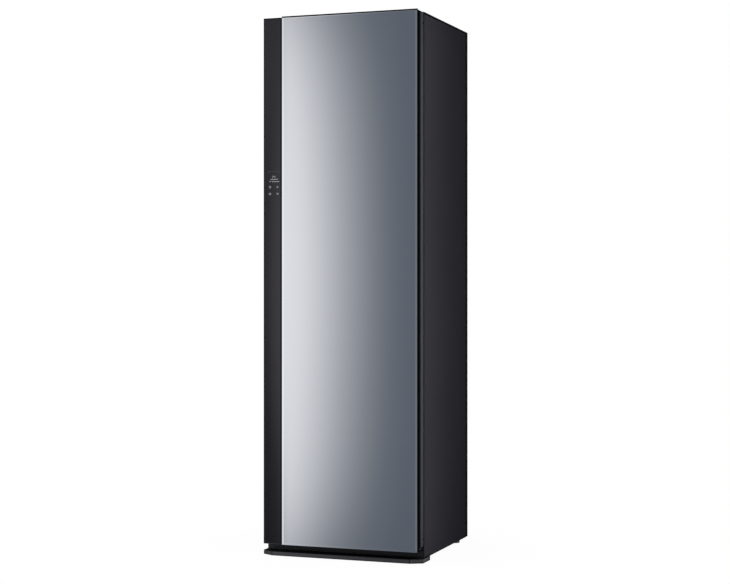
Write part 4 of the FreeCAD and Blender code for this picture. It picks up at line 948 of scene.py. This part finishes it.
def swell_pad(mesh):
    """Swell the pad's cover by light pressure, held at its back, rim and seam."""
    cloth_pad = put("pad_in_cloth", mesh)
    held = cloth_pad.vertex_groups.new(name="held")
    fixed = [vert.index for vert in mesh.vertices
             if vert.co.y / MM < PAD_BACK + 3.0 or abs(from_seam(vert.co)) < 2.6]
    held.add(fixed, 1.0, "REPLACE")
    cloth = cloth_pad.modifiers.new("cloth", "CLOTH")
    settings = cloth.settings
    settings.use_pressure = True
    settings.uniform_pressure_force = 4.0
    settings.vertex_group_mass = "held"
    settings.effector_weights.gravity = 0.0
    settings.quality = 6
    cloth.point_cache.frame_start = 1
    cloth.point_cache.frame_end = CLOTH_FRAMES
    for frame_number in range(1, CLOTH_FRAMES + 1):
        scene.frame_set(frame_number)
    swollen = evaluated(cloth_pad)
    for vert, moved in zip(mesh.vertices, swollen.vertices):
        vert.co = moved.co
    bpy.data.objects.remove(cloth_pad)
    bpy.data.meshes.remove(swollen)
    scene.frame_set(1)


# ---- fasteners and back
BACK_FACE = 303.2
SCREW_PROFILE = ((1.6, -2.4), (1.6, -0.05), (4.0, -0.05), (3.9, 0.55), (3.3, 1.3), (2.3, 1.68))
CROSS = ((1.7, -0.45), (1.7, 0.45), (0.45, 0.45), (0.45, 1.7), (-0.45, 1.7), (-0.45, 0.45),
         (-1.7, 0.45), (-1.7, -0.45), (-0.45, -0.45), (-0.45, -1.7), (0.45, -1.7), (0.45, -0.45))


def add_screw(bm):
    """Pan head screw along Z with a cross recess; the panel's face is at height 0."""
    angles = [math.radians(30 * step - 15) for step in range(len(CROSS))]
    rings = [[(radius * math.cos(a), radius * math.sin(a), height) for a in angles]
             for radius, height in SCREW_PROFILE]
    rings += [[(x, y, height) for x, y in CROSS] for height in (1.68, 0.6)]
    join_capped(bm, rings)


def make_screws(finish):
    """The back panel's screws, and two on each hinge."""
    places = [((side * 293.0, BACK_FACE, 70.0 + row * 1840.0 / 6), (0.0, 1.0, 0.0))
              for side in (-1, 1) for row in range(7)]
    places += [((x, -230.5, 49.0), (0.0, -1.0, 0.0)) for x in (244.0, 257.0)]
    places += [((x, -198.0, 1957.2), (0.0, 0.0, 1.0)) for x in (256.0, 284.0)]
    screws = at_places("screw_heads", drawn(add_screw, ()), finish, places)
    place_piece("screw_heads", screws, None, "cabinet", ("cabinet_screws",),
                crease=25.0)


def make_back_pressings(finish):
    """Pressed beads and louvre hoods of the back panel."""
    rows = []
    for name, middle in (("back_beads_low", 640.0), ("back_beads_high", 1480.0)):
        bead = drawn(add_field, ((-9.0, 9.0, -330.0, 330.0), 8.9, -0.4, 1.3, 4.0))
        rows.append(in_row(name, bead, finish, 5, (-120.0, BACK_FACE, middle), (60.0, 0.0, 0.0)))
    place_piece("back_beads", joined(rows), finish, "cabinet", crease=FIELD_CREASE)
    rings = []
    arc_steps = 6
    for step in range(arc_steps + 1):
        angle = math.pi / 2 * step / arc_steps
        reach, level = 3.6 * math.cos(angle), 1.45 * math.sin(angle)
        side, low, high = 35.0 + reach * 0.4, 0.4, 1.2 + reach
        rings.append([(-side, level, high), (side, level, high), (side, level, low),
                      (-side, level, low)])
    louvres = in_row("back_louvres", drawn(join_capped, (rings,)), finish, 10,
                     (-190.0, BACK_FACE - 0.1, 71.6), (0.0, 0.0, 14.0))
    place_piece("back_louvres", louvres, None, "cabinet", crease=FIELD_CREASE)


def make_top_field(finish):
    """Shallow raised field that stiffens the casing top."""
    bm = drawn(add_field, ((-240.0, 240.0, -140.0, 250.0), 30.0, 1955.8, 1957.6, 7.0, "xy"))
    place_piece("top_field", bm, finish, "cabinet", crease=FIELD_CREASE)


# ---- cavity
def make_cavity_pressings(finish):
    """Shallow ribs moulded in the cavity's rear wall, and fields in its side walls."""
    rib = drawn(add_field, ((-16.0, 16.0, -520.0, 520.0), 12.0, 0.3, -1.3, 5.0))
    ribs = in_row("cavity_ribs", rib, finish, 6, (-200.0, 272.0, 1180.0), (80.0, 0.0, 0.0))
    place_piece("cavity_ribs", ribs, None, "cabinet", crease=FIELD_CREASE)
    bm = drawn(add_field, *(((-186.0, 232.0, *rise), 26.0, side * 264.3, side * 262.8, 6.0, "yz")
                            for side in (-1, 1) for rise in ((650.0, 1220.0), (1250.0, 1740.0))))
    place_piece("cavity_side_fields", bm, finish, "cabinet", crease=FIELD_CREASE)


def make_shelf_rods(finish):
    """Cross rods moulded through the shelf's long openings."""
    rod = drawn(add_block, ((-236.0, -1.6, -2.4), (236.0, 1.6, 2.4), 1.0))
    rods = in_row("shelf_rods", rod, finish, 8, (0.0, -115.0, 547.0), (0.0, 41.5, 0.0))
    place_piece("shelf_rods", rods, None, "shelf")


def make_foot_grips(finish):
    """Ribs round each levelling foot, for turning it by hand."""
    for foot, (x, y) in FEET.items():
        rib = drawn(add_block, ((-0.9, -0.8, 1.2), (0.9, 0.8, 7.0), 0.5))
        grips = in_ring(foot + "_grip", rib, finish, 24, 17.9, (x, y, 0.0))
        place_piece(foot + "_grip", grips, None, foot)


TANK_FACE = -200.0
DROP_STEPS = 28


def drop_outline(x, z):
    angles = [2 * math.pi * step / DROP_STEPS for step in range(DROP_STEPS)]
    return [(x + 6.5 * math.sin(a) * math.sin(a / 2) ** 1.4, z + 9.5 * math.cos(a)) for a in angles]


def wave_outline(x, z):
    low = [(x - 11.0 + step, z + 1.5 * math.sin(step * 0.85)) for step in range(23)]
    return low + [(across, rise + 1.8) for across, rise in reversed(low)]


def make_tank_marks():
    """Level window and sign of each tank: a drop for water, waves for waste."""
    glass = moulded_plastic("level_window", colour(0.02, 0.022, 0.026), 0.12, grain=0.00001)
    print_grey = moulded_plastic("tank_print", grey(0.55), 0.6)
    middle = 131.0
    signs = {"water_tank": (middle, [drop_outline(middle, 170.0)]),
             "drain_tank": (-middle, [wave_outline(-middle, z) for z in (163.0, 169.0, 175.0)])}
    for body, (x, outlines) in signs.items():
        window = drawn(add_field, ((x + 78.0, x + 92.0, 116.0, 216.0), 6.9, -199.8, -200.6, 1.2))
        place_piece(body + "_window", window, glass, body)
        tick = drawn(add_slab, (bar(0.0, 0.0, 7.0, 1.0), "xz", -0.35, 0.1))
        ticks = in_row(body + "_ticks", tick, print_grey, 6, (x + 70.0, TANK_FACE, 124.0),
                       (0.0, 0.0, 17.0))
        sign = drawn(add_slab, *((outline, "xz", TANK_FACE - 0.35, TANK_FACE + 0.1)
                                 for outline in outlines))
        place_piece(body + "_print", joined([ticks, mesh_from(sign)]), print_grey, body)


# ---- camera and studio
FRAME_WIDTH = 730
FRAME_HEIGHT = 584
FOCAL_PIXELS = 1664.61
HORIZON_ROW = 282.65
CAMERA_PLACE = (2.1600, -5.8617, 0.9947)
CAMERA_TURN = 20.310
SENSOR = 36.0


def make_camera():
    """A level camera, shifted only as far as the framing needs."""
    data = bpy.data.cameras.new("camera")
    data.sensor_width = SENSOR
    data.lens = SENSOR * FOCAL_PIXELS / FRAME_WIDTH
    data.shift_y = (HORIZON_ROW - FRAME_HEIGHT / 2) / FRAME_WIDTH
    camera = put("camera", data)
    camera.location = CAMERA_PLACE
    camera.rotation_euler = (math.radians(90.0), 0.0, math.radians(CAMERA_TURN))
    scene.camera = camera


DEGREES = 180.0 / math.pi
EYE_LINE = 0.3
SHOWN_LOW, SHOWN_HIGH = -9.9, 9.2
BOW_SQUARE, BOW_SIXTH = 0.0070, 0.00000115
BOX_EDGE, BOX_FADE, BOX_SPREAD = 20.7, (-1.65, 3.6), 0.19
BOX_LIGHT, TAIL_LIGHT, BEVEL_LIGHT, RIM_LIGHT, SIDE_LIGHT = 1.06, 0.026, 0.062, 0.13, 0.22
OVERHEAD_LIGHT, LOW_LIGHT = 0.9, 0.75
ROOM_DARK = colour(0.014, 0.014, 0.018)
ROOM_FRONT = colour(0.114, 0.131, 0.160)
ROOM_BRIGHT = colour(0.965, 0.967, 0.99)


def make_world():
    """White to the eye; surfaces reflect a dim room with tall soft lights.

    Angles are in degrees: turn goes to the left of straight ahead, rise goes up.
    """
    world = bpy.data.worlds.new("studio")
    scene.world = world
    f = Finish(world, "Generated")
    x, y, z = f.along()
    left = 0.0 - x
    turn = left.math("ARCTAN2", left, 0.0 - y) * DEGREES
    rise = z.math("ARCSINE", z) * DEGREES
    above_floor = z.step(-0.42, -0.33)

    # the tall soft box: its near edge bows away above and below the eye line
    held = rise.math("MINIMUM", rise, SHOWN_HIGH)
    held = held.math("MAXIMUM", held, SHOWN_LOW) - EYE_LINE
    squared = held * held
    bow = squared * (BOW_SQUARE + squared * squared * BOW_SIXTH)
    lean = turn - bow
    softbox = ((lean - BOX_EDGE) / (1.0 + BOX_SPREAD * bow)).step(*BOX_FADE)
    softbox = softbox * (1.0 - 0.09 * lean.step(22.3, 23.2))
    tail = turn - 0.5 * bow
    softbox = softbox + TAIL_LIGHT * tail.step(18.4, 19.5) * tail.step(21.2, 19.9)
    softbox = softbox * turn.step(90.0, 66.0)
    softbox = softbox * (1.0 - 0.25 * turn.step(28.0, 30.5) * abs(rise).step(4.5, 9.5))

    # the dark gap beside it, which the control glass reflects
    beside = turn.step(23.12, 23.22) * turn.step(28.0, 25.0) * abs(rise).step(12.5, 10.5)
    gap = (turn + rise * rise * 0.008).step(23.25, 23.78) * beside
    gap = gap * (0.80 + 0.08 * rise.step(2.0, -8.0) - 0.27 * rise.step(2.5, 8.0))

    front_box = BOX_LIGHT * softbox * (1.0 - gap) * rise.step(33.0, 22.0)
    right_box = SIDE_LIGHT * turn.step(-32.0, -46.0) * turn.step(-95.0, -70.0)
    left_box = SIDE_LIGHT * turn.step(75.0, 100.0) * turn.step(175.0, 150.0)
    bevel_box = BEVEL_LIGHT * turn.step(4.5, 6.5) * turn.step(14.5, 12.5)
    rim_box = RIM_LIGHT * turn.step(-9.0, -14.0) * turn.step(-31.0, -26.0)
    overhead = OVERHEAD_LIGHT * z.step(0.72, 0.97)
    low = LOW_LIGHT * z.step(-0.33, -0.42) * turn.step(29.0, 32.0)
    boxes = front_box + right_box + left_box + rim_box + bevel_box
    light = boxes * above_floor + overhead + low

    front = abs(turn).step(70.0, 40.0)
    front = front * (1.0 - 0.5 * beside * rise.step(12.0, -12.0))
    front = front * (1.0 - 0.1 * rise.step(-4.0, -11.0))
    dark = f.mix(front * rise.step(40.0, 20.0), ROOM_DARK, ROOM_FRONT)
    glow = f.mix(light, dark, ROOM_BRIGHT, clamp_factor=False)
    room = f.add("Background", {"Color": glow, "Strength": 1.0})
    white = f.add("Background", {"Color": grey(1.0), "Strength": 1.0})
    eye = f.add("LightPath", output="Is Camera Ray")
    f.close("OutputWorld", f.add("MixShader", {0: eye, 1: room, 2: white}))


FLOOR_SIZE = 60.0
FLOOR_GLOW = 0.96
FLOOR_FADE = (0.35, 1.1)


def make_floor():
    """Pale floor that fades to white away from the cabinet."""
    bpy.ops.mesh.primitive_plane_add(size=FLOOR_SIZE)
    floor = bpy.context.object
    floor.name = "studio_floor"
    floor.visible_glossy = False
    f = new_finish("studio_floor")
    x, y, z = f.along()
    far = x.math("SQRT", x * x + y * y)
    paper = f.add("BsdfDiffuse", {"Color": grey(0.96)})
    glow = f.add("Emission", {"Color": grey(1.0), "Strength": 1.0})
    share = FLOOR_GLOW + (1.0 - FLOOR_GLOW) * far.step(*FLOOR_FADE)
    blend = f.add("MixShader", {0: share, 1: paper, 2: glow})
    floor.data.materials.append(f.close("OutputMaterial", blend))


def soft_light(name, place, target, width, height, power):
    data = bpy.data.lights.new(name, "AREA")
    data.shape = "RECTANGLE"
    data.size, data.size_y, data.energy = width, height, power
    light = put(name, data)
    light.location = place
    aim = Vector(target) - Vector(place)
    light.rotation_euler = aim.to_track_quat("-Z", "Y").to_euler()
    light.visible_camera = False
    light.visible_glossy = False
    return light


def make_studio():
    scene.view_settings.view_transform = "Standard"
    make_world()
    make_floor()
    soft_light("overhead", (0.0, -0.6, 4.6), (0.0, 0.0, 0.0), 4.0, 4.0, 150.0)
    soft_light("front_left", (-2.6, -3.4, 2.2), (0.0, 0.0, 1.0), 1.6, 2.4, 40.0)
    rear_right = soft_light("rear_right", (1.30, 1.05, 1.0), (0.3, 0.0, 1.0), 0.55, 2.6, 9.2)
    rear_right.data.color = (0.88, 0.87, 1.0)
    rear_right.visible_glossy = True


# ---- make
make_camera()
make_studio()
finish_nodes()
make_display_marks()
make_mirror(finish_of("mirror_glass"))
make_edge_trims()
make_strip_rim()
make_stile_caps()
make_hinge_cover(finish_of("hinge_cover"))
make_base_pieces(finish_of("front_base_plate"), finish_of("base_corner_caps"))
make_door_seal(finish_of("door_gasket"))
make_door_liner_fields(finish_of("door_inner_liner"))
make_press_pad(finish_of("press_board"))
make_press_plate_fields(finish_of("press_plate"))
make_screws(finish_of("cabinet_screws"))
make_back_pressings(finish_of("back_panel"))
make_top_field(finish_of("top_panel"))
make_cavity_pressings(finish_of("inner_liner"))
make_shelf_rods(finish_of("shelf"))
make_foot_grips(finish_of("foot_front_left"))
make_tank_marks()
